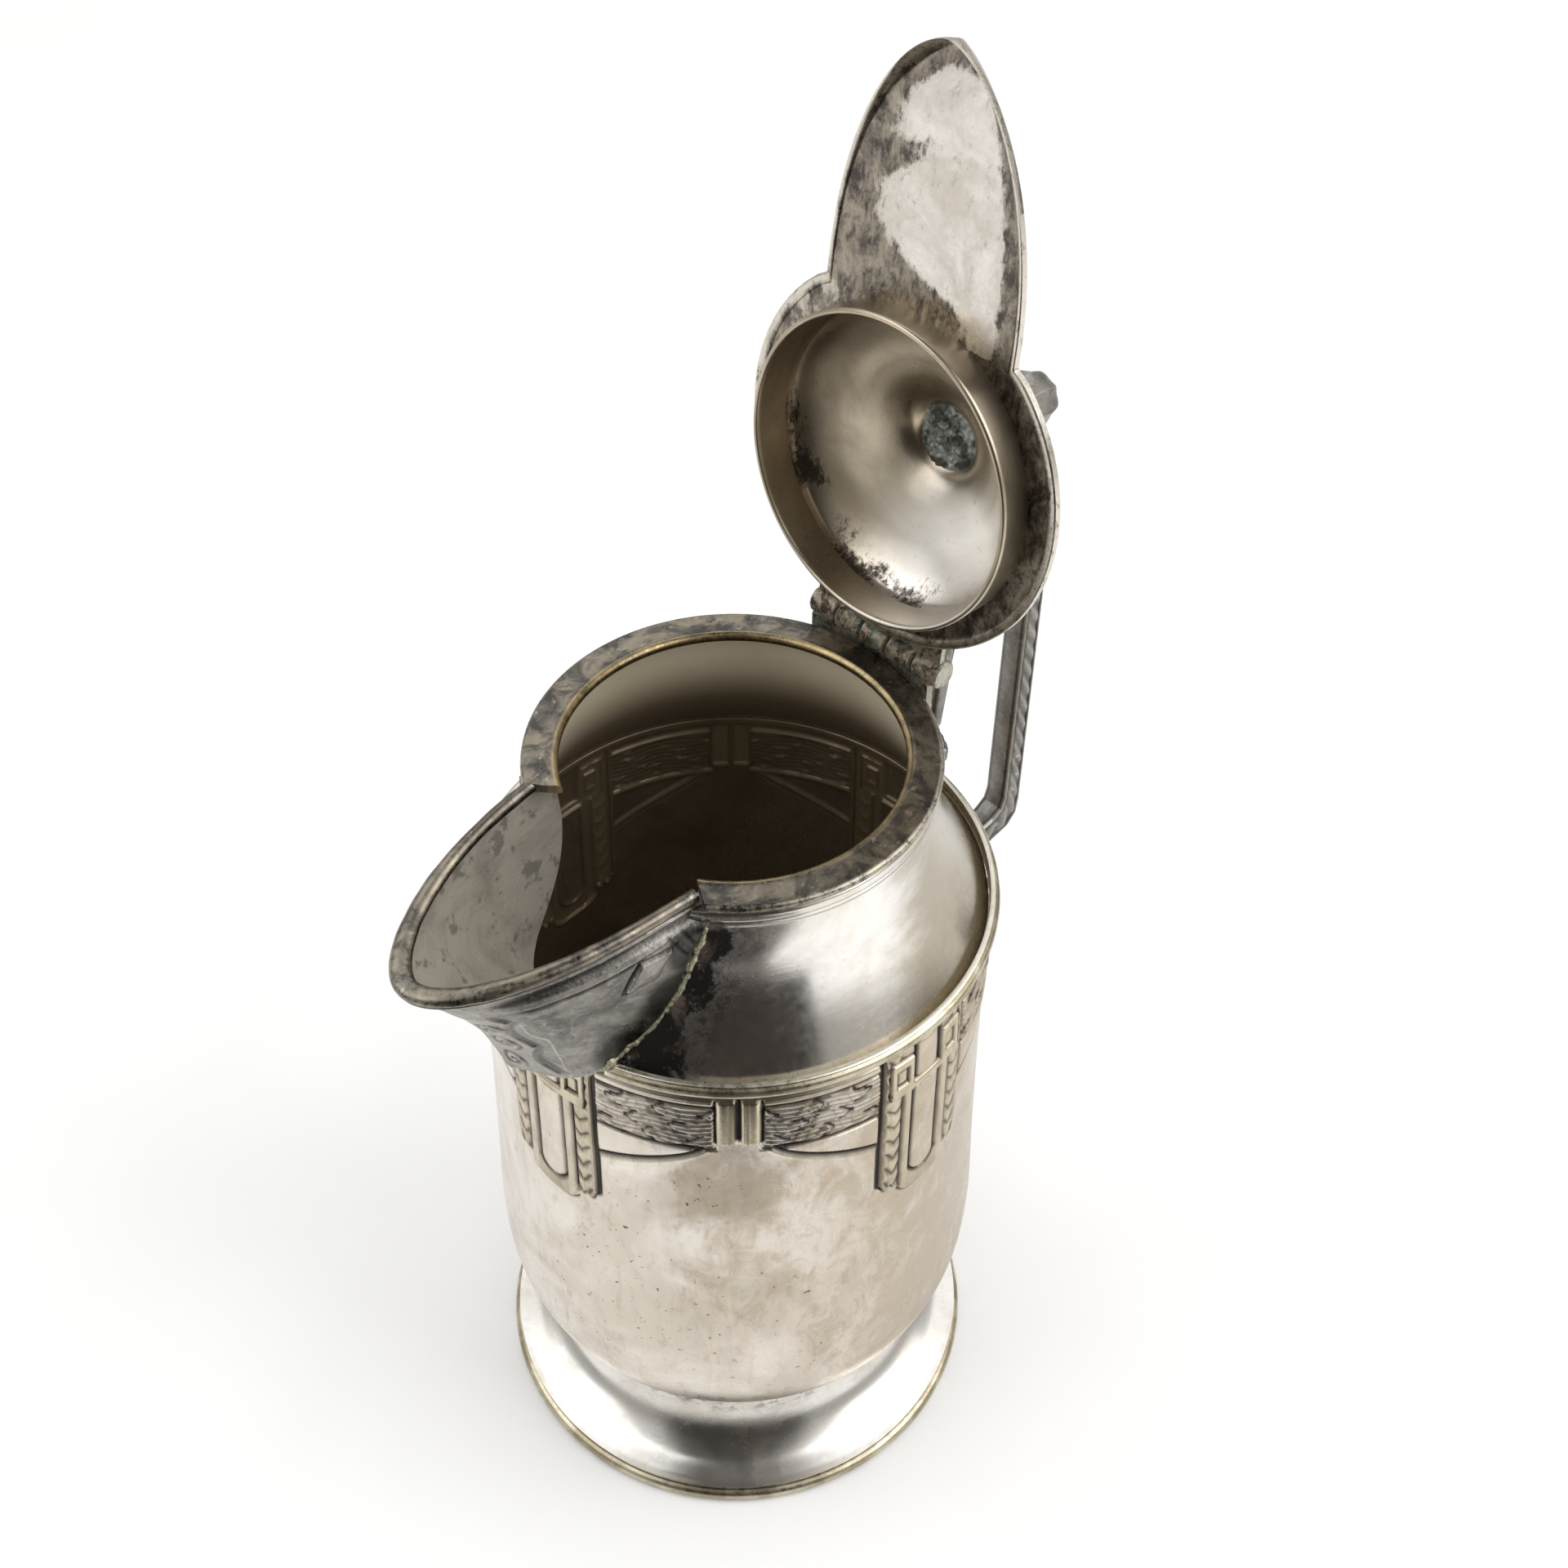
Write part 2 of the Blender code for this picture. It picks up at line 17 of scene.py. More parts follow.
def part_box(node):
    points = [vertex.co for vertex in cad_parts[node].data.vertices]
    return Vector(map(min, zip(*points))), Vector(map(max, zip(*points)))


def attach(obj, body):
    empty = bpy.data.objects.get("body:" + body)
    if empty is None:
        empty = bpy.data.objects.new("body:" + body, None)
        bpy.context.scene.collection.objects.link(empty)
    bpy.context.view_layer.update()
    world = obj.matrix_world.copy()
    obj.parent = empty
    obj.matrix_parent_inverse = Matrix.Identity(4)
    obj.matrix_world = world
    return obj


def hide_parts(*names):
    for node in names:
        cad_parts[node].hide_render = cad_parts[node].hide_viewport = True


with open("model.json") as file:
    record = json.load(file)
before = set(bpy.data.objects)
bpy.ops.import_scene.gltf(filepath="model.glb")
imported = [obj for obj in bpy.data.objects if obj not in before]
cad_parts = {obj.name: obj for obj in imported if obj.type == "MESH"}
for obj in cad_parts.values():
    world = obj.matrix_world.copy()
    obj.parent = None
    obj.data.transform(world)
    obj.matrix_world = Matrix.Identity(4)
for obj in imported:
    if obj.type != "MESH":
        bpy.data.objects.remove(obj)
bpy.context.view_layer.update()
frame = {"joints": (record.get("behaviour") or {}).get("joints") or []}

MM = 0.001
CUP_LOW, CUP_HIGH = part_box("body_cup")
AXIS_X = (CUP_LOW.x + CUP_HIGH.x) / 2
HINGE = frame["joints"][0]
HINGE_X = (HINGE["pos_m"][0] - AXIS_X) / MM
HINGE_Z = HINGE["pos_m"][2] / MM
OPEN_ANGLE = -math.radians(HINGE["range_deg"][0])

# --- driving dimensions: millimetres, and metres for WELD, SLIVER and FLOOR_SIZE --------------
SHEET = 0.8
TURNS = 900
WELD, SLIVER = 0.0000015, 0.0000005
CUP_OUTLINE = [
    (32.8, 99.9), (33.0, 99.0), (33.3, 95.0), (33.5, 88.0), (33.7, 78.0), (34.0, 66.0), (34.4, 54.0),
    (34.9, 43.0), (35.0, 37.0), (34.6, 31.0), (33.4, 26.2), (31.5, 22.4), (29.2, 19.4),
    (26.9, 17.3), (25.0, 16.3), (22.0, 15.9), (11.0, 15.9), (0.0, 15.9),
]
FRIEZE_LOW = 64.0
FRIEZE_R = 33.6
FRIEZE_TURN = math.radians(1.5)

SHOULDER_EDGE_R, SHOULDER_EDGE_Z = 33.0, 100.1
NECK_R, NECK_FOOT_Z, NECK_TOP_Z = 25.3, 121.0, 122.75
SPOUT_GAP = [
    (101.8, 0.0), (102.4, 10.0), (104.0, 16.5), (107.2, 22.0), (112.0, 27.8), (116.8, 31.5), (123.0, 35.0),
]

BEAD_MIDDLE_R, BEAD_MIDDLE_Z = 33.9, 100.4
BEAD_GAP = 19.0
RIM_GAP, RIM_SLANT, RIM_SKEW = 33.3, 1.0, 3.4
FOOT_OUTLINE = [
    (21.5, 15.5), (23.4, 15.5), (24.8, 15.4), (25.4, 14.5), (25.9, 12.0), (27.0, 9.0), (28.8, 6.5),
    (31.4, 4.6), (34.0, 3.6), (35.2, 3.3),
]

LIP_START_X, LIP_TIP_X, LIP_HALF = -22.5, -50.6, 12.9
LIP_REACH, LIP_SPLAY = 4.0, 0.6
LIP_START_Z, LIP_TIP_Z = 123.1, 121.2
LIP_WIRE_R, LIP_SPREAD = 0.85, 0.55
ROOT_ANGLE, ROOT_FLARE = math.radians(31.6), math.radians(6.0)
KEEL_HOLLOW, KEEL_DROP = 3.2, 1.6
KEEL_CURLS = [(0.34, 0.42, 2.0), (0.30, 0.62, 2.3), (0.22, 0.84, 2.0)]
CURL_WIDTH, CURL_FALL, CURL_PITCH = 14.0, 22.0, 1.25
ROOT_START_Z, ROOT_KEEL_Z, ROOT_KEEL_R = 122.4, 97.9, 36.9
SPOUT_WALL = 1.1
CHEEK = [
    (-31.0, 0.0, 101.9), (-29.6, 4.8, 102.1), (-26.3, 8.3, 103.0), (-21.8, 10.6, 105.6),
    (-18.8, 11.7, 110.0), (-17.6, 12.2, 116.0), (-17.9, 12.6, 122.6),
]

HANDLE_WIDTH = 3.9
ROPE_SHARE, ROPE_PITCH = 0.62, 3.4
HANDLE_OUTER = [
    (36.4, 104.5), (36.9, 111.0), (37.6, 119.0), (37.9, 125.6), (38.8, 127.8), (40.9, 128.7), (54.9, 128.7),
    (57.2, 127.8), (58.2, 125.6), (58.8, 75.0), (58.5, 72.4), (56.8, 70.6), (35.9, 67.2),
]
HANDLE_INNER = [
    (38.2, 104.5), (39.1, 111.0), (39.9, 119.0), (40.3, 122.6), (40.7, 123.8), (42.2, 125.2), (53.4, 125.2),
    (54.4, 124.6), (54.8, 123.4), (55.0, 77.8), (54.4, 75.9), (52.6, 74.9), (35.9, 72.2),
]

KNUCKLE_R, KNUCKLES, KNUCKLE_PITCH, KNUCKLE_GAP = 1.9, 5, 4.4, 0.25
PIN_R, PIN_HALF = 0.7, 10.95

PLATE_R, PLATE_HOLE_R, PLATE_Z, PLATE_THICK = 23.8, 19.6, 124.6, 0.8
FLAP_START_X, FLAP_TIP_X, FLAP_HALF = -18.4, -51.2, 14.2
FLAP_EDGE_DROP, FLAP_TIP_DROP, FLAP_EDGE_BAND = 0.05, 1.9, 2.2
BEZEL_IN, BEZEL_OUT, BEZEL_LOW, BEZEL_HIGH = 19.1, 19.8, 120.2, 125.4
DOME_OUTLINE = [
    (0.0, 135.8), (3.6, 135.7), (4.9, 135.3), (5.4, 134.3), (5.7, 132.9), (6.6, 132.2), (10.2, 131.6),
    (14.0, 130.6), (17.2, 129.2), (19.3, 127.7), (20.15, 126.4), (20.2, 125.5),
]
DOME_INSIDE = [
    (0.0, 134.9), (2.8, 134.7), (4.2, 134.0), (5.2, 133.0), (6.4, 132.2), (8.5, 131.3), (11.0, 130.5),
    (14.0, 129.5), (17.0, 128.0), (18.7, 126.6), (19.1, 125.6), (19.1, 125.2),
]
KNOB_OUTLINE = [
    (0.0, 153.4), (1.9, 152.9), (3.4, 151.2), (4.0, 148.8), (3.6, 145.6), (2.5, 142.2), (2.1, 139.8),
    (2.9, 138.0), (4.2, 137.1), (4.2, 136.2), (0.0, 136.2),
]
KNOB_FACETS = 8

# Places of wear, and of the dome's painted highlight: x, y, z, radius and how far it fades out.
TARNISH_SPOTS = [(-23.5, -14.8, 112, 2.5, 6), (-28.5, -14.3, 105, 3.0, 7), (-20.3, -16, 118, 2.0, 4)]
SEAM_SPOTS = [(-24.5, -14.5, 111, 1, 6), (-30.5, -12.5, 104, 1, 5), (-21.5, -15, 118, 1, 5)]
DOME_PAINTED_HIGHLIGHT = (14.5, -8.5, 128, 5, 13)

CAMERA_AZIMUTH = math.radians(-46.0)
CAMERA_ELEVATION = math.radians(45.04)
CAMERA_ROLL = math.radians(0.911)
CAMERA_DISTANCE = 257.98
AIM_RIGHT, AIM_HEIGHT = 6.293, 118.41
LENS = 47.86
JUG_MIDDLE = Vector((AXIS_X / MM, 0.0, 80.0))
LAMP_AIM = Vector((0.0, 0.0, 80.0))
FLOOR_SIZE = 40.0


# --- number helpers -------------------------------------------------------------------------
def ramp(x, low, high):
    """0 below low, 1 above high, smooth between."""
    t = np.clip((x - low) / (high - low), 0.0, 1.0)
    return t * t * (3 - 2 * t)


def between(x, low, high, soft=0.3):
    """1 between low and high, with soft edges."""
    half = soft / 2
    return ramp(x, low - half, low + half) * (1 - ramp(x, high - half, high + half))


def pillow(x, low, high):
    """A round swelling from low to high."""
    t = np.clip((x - low) / (high - low), 0.0, 1.0)
    return np.sqrt(np.maximum(1 - (2 * t - 1) ** 2, 0.0))


def spline(points, steps=12):
    """A smooth curve through the points (Catmull-Rom)."""
    p = np.array(points, float)
    ends = np.vstack([2 * p[0] - p[1], p, 2 * p[-1] - p[-2]])
    t = np.linspace(0, 1, steps, endpoint=False)[:, None]
    spans = []
    for i in range(len(p) - 1):
        a, b, c, d = ends[i:i + 4]
        spans.append(b + 0.5 * ((c - a) * t + (2 * a - 5 * b + 4 * c - d) * t ** 2
                                + (3 * b - a - 3 * c + d) * t ** 3))
    return np.vstack(spans + [p[-1:]])


def run_length(points):
    """How far along the line each of its points is."""
    return np.r_[0, np.cumsum(np.linalg.norm(np.diff(points, axis=0), axis=1))]


def evenly(points, count):
    """The same line with this many evenly spaced points."""
    points = np.asarray(points, float)
    run = run_length(points)
    along = np.linspace(0, run[-1], count)
    return np.stack([np.interp(along, run, column) for column in points.T], axis=1)


def even(points, step):
    """The same line with its points a step apart."""
    return evenly(points, max(2, int(round(run_length(np.asarray(points))[-1] / step)) + 1))


def inset(outline, wall):
    """An (r, z) outline that runs down its outer side, moved inward by the wall."""
    tangent = np.gradient(outline, axis=0)
    tangent /= np.linalg.norm(tangent, axis=1)[:, None]
    moved = outline + np.stack([tangent[:, 1], -tangent[:, 0]], axis=1) * wall
    moved[:, 0] = np.maximum(moved[:, 0], 0.0)
    return moved


def xyz(x, y, z):
    """Points from their coordinates, which may be arrays or single numbers."""
    return np.stack(np.broadcast_arrays(x, y, z), axis=-1)


def polar(r, angle, z):
    """Points at a radius and an angle round the jug's axis."""
    return xyz(r * np.cos(angle), r * np.sin(angle), z)


def turn_outline(outline, angles):
    """(r, z) points turned to the angles: an array of angles x points x 3."""
    r, z = np.asarray(outline, float).T
    return polar(r, angles[:, None], z)


def full_turn(count=TURNS):
    return np.linspace(0, 2 * math.pi, count, endpoint=False)


def lumps(points, size, seed=0):
    """A smooth, repeatable unevenness between about -1 and 1, with features of this size."""
    rng = np.random.default_rng(seed)
    total = np.zeros(points.shape[:-1])
    for _ in range(10):
        wave = rng.normal(size=3)
        wave *= 2 * math.pi / (size * np.linalg.norm(wave)) * rng.uniform(0.6, 1.6)
        total += np.sin(points @ wave + rng.uniform(0, 2 * math.pi))
    return total / 4


# --- meshes ---------------------------------------------------------------------------------
class Solid:
    """Collects closed surfaces, as grids of points, into one mesh."""

    def __init__(self):
        self.points, self.faces, self.layers, self.count = [], [], [], 0

    def _index(self, shape, wrap_rows, wrap_columns):
        index = np.arange(shape[0] * shape[1]).reshape(shape) + self.count
        if wrap_rows:
            index = np.vstack([index, index[:1]])
        if wrap_columns:
            index = np.hstack([index, index[:, :1]])
        return index

    def _quads(self, index):
        self.faces.append(np.stack(
            [index[:-1, :-1], index[:-1, 1:], index[1:, 1:], index[1:, :-1]], axis=2).reshape(-1, 4))

    def _add_points(self, points, layers):
        flat = points.reshape(-1, 3)
        self.points.append(flat)
        self.layers.append({key: np.broadcast_to(value, points.shape[:2]).reshape(-1)
                            for key, value in layers.items()})
        self.count += len(flat)

    def skin(self, points, wrap_rows=False, wrap_columns=False, **layers):
        """One grid of quads."""
        self._quads(self._index(points.shape[:2], wrap_rows, wrap_columns))
        self._add_points(points, layers)
        return self

    def tube(self, points, **layers):
        """Rows are closed sections; the first and the last are drawn to their middle."""
        ends = [np.broadcast_to(points[k].mean(0), points[k].shape)[None] for k in (0, -1)]
        layers = {key: np.pad(np.broadcast_to(value, points.shape[:2]), ((1, 1), (0, 0)), mode="edge")
                  for key, value in layers.items()}
        return self.skin(np.concatenate([ends[0], points, ends[1]]), wrap_columns=True, **layers)

    def slab(self, outer, inner, wrap_rows=False, outer_layers=None, inner_layers=None):
        """The solid between two grids of the same size."""
        first = self._index(outer.shape[:2], wrap_rows, False)
        self._quads(first)
        self._add_points(outer, outer_layers or {})
        second = self._index(inner.shape[:2], wrap_rows, False)
        self._quads(second)
        self._add_points(inner, inner_layers or {})
        for edge in (0, -1):
            self._quads(np.stack([first[:, edge], second[:, edge]], axis=1))
            if not wrap_rows:
                self._quads(np.stack([first[edge], second[edge]], axis=1))
        return self


def place(points, lid):
    """Millimetres round the jug's axis, lid closed, to metres in the frame at rest."""
    points = points.copy()
    if lid:
        x, z = points[:, 0] - HINGE_X, points[:, 2] - HINGE_Z
        points[:, 0] = HINGE_X + x * math.cos(OPEN_ANGLE) + z * math.sin(OPEN_ANGLE)
        points[:, 2] = HINGE_Z - x * math.sin(OPEN_ANGLE) + z * math.cos(OPEN_ANGLE)
    return points * MM + np.array([AXIS_X, 0.0, 0.0])


def make_mesh(name, solid, lid):
    points = place(np.vstack(solid.points), lid)
    faces = np.vstack(solid.faces)
    mesh = bpy.data.meshes.new(name)
    mesh.vertices.add(len(points))
    mesh.vertices.foreach_set("co", points.astype(np.float32).ravel())
    mesh.loops.add(faces.size)
    mesh.loops.foreach_set("vertex_index", faces.astype(np.int32).ravel())
    mesh.polygons.add(len(faces))
    mesh.polygons.foreach_set("loop_start", np.arange(0, faces.size, 4, dtype=np.int32))
    mesh.update(calc_edges=True)
    for key in sorted({key for layers in solid.layers for key in layers}):
        values = [layers.get(key, np.zeros(len(p))) for layers, p in zip(solid.layers, solid.points)]
        attribute = mesh.attributes.new(key, "FLOAT", "POINT")
        attribute.data.foreach_set("value", np.concatenate(values).astype(np.float32))
    work = bmesh.new()
    work.from_mesh(mesh)
    bmesh.ops.remove_doubles(work, verts=work.verts, dist=WELD)
    bmesh.ops.dissolve_degenerate(work, edges=work.edges, dist=SLIVER)
    bmesh.ops.recalc_face_normals(work, faces=work.faces)
    work.to_mesh(mesh)
    work.free()
    return mesh


def add_object(name, data):
    thing = bpy.data.objects.new(name, data)
    bpy.context.scene.collection.objects.link(thing)
    return thing


def piece(name, solid, material, body, filler_for=None, sharp=50.0, wall=0.0):
    """A finished piece that rides on a body.

    It stands for the CAD node of its name, unless it is a filler, which hides no CAD node.
    """
    thing = add_object(name if filler_for else name + "_look", make_mesh(name, solid, body == "lid"))
    if wall:
        thicken(thing, wall)
    thing.data.materials.append(material)
    thing.data.shade_smooth()
    thing.data.set_sharp_from_angle(angle=math.radians(sharp))
    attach(thing, body)
    if not filler_for:
        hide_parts(name)


def thicken(thing, wall):
    modifier = thing.modifiers.new("wall", "SOLIDIFY")
    modifier.thickness = wall * MM
    modifier.offset = -1.0
    modifier.use_even_offset = True
    graph = bpy.context.evaluated_depsgraph_get()
    mesh = bpy.data.meshes.new_from_object(thing.evaluated_get(graph))
    thing.modifiers.clear()
    thing.data = mesh


# --- the frieze -----------------------------------------------------------------------------
class Relief:
    """Height in millimetres, brass, and dirt with painted shade over a surface; later layers cover earlier
    ones.
    """

    def __init__(self, shape):
        self.height, self.brass, self.dirt = (np.zeros(shape) for _ in range(3))

    def lay(self, mask, height, brass, dirt):
        for name, value in (("height", height), ("brass", brass), ("dirt", dirt)):
            setattr(self, name, getattr(self, name) * (1 - mask) + value * mask)


def lay_crescents(relief, s, z):
    """Plain panels under the swag, above a groove; s is the way round from a pendant's middle."""
    t = np.clip((s - 7.9) / 14.5, 0, 1)
    low = 89.3 - 6.8 * (1 - t) ** 0.72
    along = between(s, 7.9, 22.6)
    relief.lay(along * between(z, low - 1.7, low - 0.7, 0.5), 0.08, 0.55, 0.25)
    relief.lay(along * between(z, low - 1.0, low - 0.05), -0.28, 0.2, 1.0)
    relief.lay(along * between(z, low, 88.3), 0.10 + 0.22 * pillow(z, low - 0.5, 89.0), 0.0, 0.0)


def lay_swag(relief, s, z):
    """Three rows of overlapping leaves, finely lined and drawn to a point towards the pendant."""
    low, high, rows, pitch = 88.8, 96.3, 3, 6.0
    level = np.clip((z - low) / (high - low) * rows + 0.1 * np.sin(0.7 * s), 0, rows - 1e-6)
    row, across = np.floor(level), level % 1
    along = ((s - 8.1) / pitch + 0.382 * row + 0.05 * np.sin(1.7 * s + 2.0 * row)) % 1
    off = np.abs(2 * across - 1)
    lines = 0.5 + 0.5 * np.cos(6 * math.pi * across)
    width = 0.1 + 0.9 * ramp(along, -0.05, 0.42)
    outline = np.exp(-((off - width) / 0.16) ** 2) * (1 - ramp(along, 0.3, 0.45))
    body = (1 - along) * (1 - ramp(off, width - 0.1, width + 0.1))
    height = 0.14 + 0.2 * lines + 0.24 * body - 0.2 * outline
    # Dark lines between the reeds and round each leaf: dirt and painted shade.
    dirt = np.clip(0.5 * (1 - lines) ** 2 + 1.2 * outline + 0.35 * ramp(off, 0.88, 1.0), 0, 1)
    band = between(s, 8.0, 23.5, 0.25) * between(z, low, high, 0.25)
    edge = between(s, 7.9, 23.6, 0.25)
    relief.lay(edge * between(z, 88.0, low + 0.1), -0.2, 0.2, 1.0)
    relief.lay(edge * between(z, high - 0.1, 96.9), -0.15, 0.2, 0.9)
    relief.lay(band, height, 0.25 * lines, dirt)
    relief.lay(edge * between(z, 96.8, 98.1), 0.42 * pillow(z, 96.7, 98.2), 0.35, 0.1)


def lay_clasps(relief, s, z):
    """A pair of upright bars where two swags meet."""
    tall = between(z, 89.7, 97.8, 0.35)
    relief.lay(between(s, 25.9, 27.5, 0.2) * between(z, 90.2, 98.0), -0.22, 0.1, 1.0)
    relief.lay(between(s, 23.3, 23.75, 0.15) * tall, -0.12, 0.1, 1.0)
    rib = 0.42 + 0.22 * pillow(s, 23.9, 25.3) + 0.1 * pillow(s, 25.3, 26.05)
    seam = 0.05 + 0.5 * between(s, 25.15, 25.4, 0.15)
    relief.lay(between(s, 23.65, 26.05, 0.25) * tall, rib, 0.9, seam)


def lay_pendants(relief, s, z):
    """A panel with a tongue between ribbons and leaf strips, and a square fold at the top."""
    strip_low = 71.8 - 0.9 * np.abs(np.sin((s - 4.2) * 2.2)) + 1.8 * ramp(s, 6.7, 7.9)
    low = np.where(s < 4.2, 68.2 + 1.5 * (s / 4.2) ** 4, strip_low)
    top = 98.2
    relief.lay(between(s, -1, 7.95) * between(z, low - 0.65, top), -0.25, 0.2, 0.95)
    relief.lay(between(s, -1, 7.25, 0.25) * between(z, low, top, 0.25), 0.34, 0.75, 0.25)
    phase = z / 3.1 - 0.42 * np.abs(s - 5.5) / 1.1 + 0.06 * np.sin(2.3 * z)
    leaf = np.abs(np.sin(math.pi * phase)) ** 0.7 * (0.6 + 0.4 * np.abs(np.cos((s - 5.5) * 1.9)))
    strip = between(s, 4.6, 6.8, 0.25) * between(z, low + 0.5, top)
    relief.lay(strip, 0.2 + 0.38 * leaf, 0.8, np.clip(1.0 - 1.3 * leaf, 0.1, 0.9))
    relief.lay(between(s, 4.15, 4.5, 0.2) * between(z, low, 97.0), 0.02, 0.2, 1.0)
    ribbon = between(s, 2.8, 4.1, 0.2) * between(z, low + 0.3, 90.0)
    relief.lay(ribbon, 0.3 + 0.25 * pillow(s, 2.75, 4.15), 0.6, 0.1)
    reach = np.where(z > 73.2, s, np.hypot(s, z - 73.2))
    relief.lay((1 - ramp(reach, 2.55, 2.85)) * (z < 89.9), -0.15, 0.1, 1.0)
    relief.lay((1 - ramp(reach, 2.05, 2.3)) * (z < 89.6), 0.12 + 0.36 * pillow(reach, -2.3, 2.3), 0.1, 0.0)
    relief.lay(between(s, -1, 2.6) * between(z, 90.9, top), -0.1, 0.1, 1.0)
    relief.lay(between(s, -1, 1.9) * between(z, 91.3, 97.8), 0.1 + 0.35 * pillow(s, -2.0, 2.0), 0.2, 0.0)
    key = np.maximum(np.abs(s - 4.45) / 1.85, np.abs(z - 93.35) / 3.05)
    relief.lay(1 - ramp(key, 1.08, 1.18), 0.02, 0.2, 0.95)
    relief.lay(1 - ramp(key, 0.96, 1.04), 0.5, 0.85, 0.1)
    relief.lay(1 - ramp(key, 0.5, 0.58), 0.05, 0.3, 0.9)
    relief.lay(1 - ramp(key, 0.32, 0.42), 0.32, 0.7, 0.1)
    relief.lay(between(s, -1, 6.3) * between(z, 89.75, 90.95), 0.5 + 0.1 * pillow(z, 89.7, 91.0), 0.8, 0.1)


def frieze(angle, z):
    """The embossed frieze: four pendants joined by swags that meet in clasps."""
    quarter = math.pi / 2
    turn = (angle - FRIEZE_TURN + quarter / 2) % quarter - quarter / 2
    s = np.abs(turn) * FRIEZE_R
    # The last number of each layer darkens grooves and hollows: dirt and painted shade.
    relief = Relief(s.shape)
    for lay in (lay_crescents, lay_swag, lay_clasps, lay_pendants):
        lay(relief, s, z)
    # A dark groove under the bead: painted shade.
    relief.lay(between(z, 98.15, 99.4, 0.2), -0.25, 0.2, 1.0)
    return relief


# --- the jug's shapes -----------------------------------------------------------------------
def cup_solid():
    smooth = spline(CUP_OUTLINE)
    decorated = smooth[:, 1] > FRIEZE_LOW
    outline = np.vstack([even(smooth[decorated], 0.22), even(smooth[~decorated], 0.8)])
    angles = full_turn()
    outer = turn_outline(outline, angles)
    inner = turn_outline(inset(outline, SHEET), angles)
    relief = frieze(angles[:, None], outline[None, :, 1])
    out = polar(1.0, angles, 0.0)[:, None]
    outer = outer + out * relief.height[..., None]
    inner = inner + out * relief.height[..., None] * 0.8
    dent = (1 - ramp(outline[:, 1], 62, 70)) * ramp(outline[:, 1], 24, 40)
    outer = outer + out * (0.05 * lumps(outer, 17.0, 3) * dent[None])[..., None]
    # Under the bead the outer wall takes the dark inside colour: painted shade.
    layers = {"brass": relief.brass, "dirt": relief.dirt, "within": 1.0 * (outline[None, :, 1] > 98.6)}
    return Solid().slab(outer, inner, True, layers, {**layers, "within": 1.0})


def shoulder_radius(z):
    reach = np.clip((NECK_FOOT_Z - z) / (NECK_FOOT_Z - SHOULDER_EDGE_Z), 0.0, 1.0)
    return NECK_R + (SHOULDER_EDGE_R - NECK_R) * reach ** 2


def spout_gap(z):
    """Half the opening for the spout, in radians, at this height."""
    heights, gaps = zip(*SPOUT_GAP)
    return np.radians(np.interp(z, heights, gaps))


def shoulder_solid():
    """A thin skin with the spout's opening; it is thickened afterwards."""
    z = np.r_[np.linspace(NECK_TOP_Z, NECK_FOOT_Z, 10),
              np.linspace(NECK_FOOT_Z, SHOULDER_EDGE_Z, 90)[1:]]
    r = shoulder_radius(z) + 0.28 * between(z, 121.35, 122.6, 0.3) + 0.12 * between(z, 120.6, 121.0, 0.3)
    share = np.linspace(-1, 1, TURNS // 2 + 1)[:, None]
    return Solid().skin(polar(r, share * (math.pi - spout_gap(z)), z))


def ring_solid(section, gap=0.0, slant=0.0, skew=0.0, count=TURNS // 2):
    """A closed section turned round the axis, with a gap at the spout.

    The gap opens by slant degrees for each millimetre outwards and is turned by skew degrees.
    """
    r, z = np.asarray(section, float).T
    if not gap:
        return Solid().skin(turn_outline(section, full_turn(count)), True, True)
    reach = math.pi - np.radians(gap + slant * (r - r.mean()))
    share = np.linspace(-1, 1, count)[:, None]
    return Solid().tube(polar(r, share * reach + math.radians(skew) * share ** 2, z))


def bead_section():
    """A half-round between two small fillets."""
    arc = [(BEAD_MIDDLE_R + 0.62 * math.cos(a), BEAD_MIDDLE_Z + 0.78 * math.sin(a))
           for a in np.linspace(1.45, -1.45, 16)]
    return ([(33.25, 101.55), (33.75, 101.6), (33.95, 101.45), (33.9, 101.28)] + arc
            + [(33.9, 99.5), (33.95, 99.3), (33.7, 99.15), (33.25, 99.2)])


def rim_section():
    """The flat rim ring: rolled inner edge, faint dish, rounded outer edge."""
    return even(spline([
        (21.5, 124.05), (21.9, 124.25), (22.4, 124.15), (23.6, 124.1), (24.7, 124.15), (25.3, 124.2),
        (25.75, 123.95), (25.85, 123.5), (25.6, 123.05), (25.2, 122.9), (23.0, 122.9), (21.6, 122.95),
        (21.3, 123.3), (21.3, 123.8), (21.5, 124.05),
    ], 6), 0.15)[:-1]


def foot_solid():
    outline = even(spline(FOOT_OUTLINE), 0.3)
    outline[:, 0] += 0.22 * between(outline[:, 1], 12.9, 14.0, 0.4)
    angles = full_turn(TURNS // 2)
    return Solid().slab(turn_outline(outline, angles), turn_outline(inset(outline, SHEET), angles), True)


def foot_wire_section():
    arc = [(34.9 + 1.1 * math.cos(a), 1.15 + 1.05 * math.sin(a)) for a in np.linspace(1.5, -1.0, 14)]
    return arc + [(35.0, 0.02), (34.2, 0.0), (34.0, 0.3), (34.0, 2.0), (34.3, 2.2)]


# --- the spout ------------------------------------------------------------------------------
def lip_line(turn):
    """The middle of the lip under its wire; turn runs from -pi/2 at -Y to pi/2 at +Y."""
    along = np.abs(np.cos(turn)) ** 1.18
    side = np.sign(turn) * np.abs(np.sin(turn)) ** 1.1
    end = (np.abs(turn) / (math.pi / 2)) ** 12
    x = LIP_START_X + (LIP_TIP_X - LIP_START_X) * along + LIP_REACH * end
    y = (LIP_HALF + LIP_SPLAY * end) * side
    z = LIP_START_Z + (LIP_TIP_Z - LIP_START_Z) * along ** 1.5
    return xyz(x, y, z - LIP_WIRE_R)


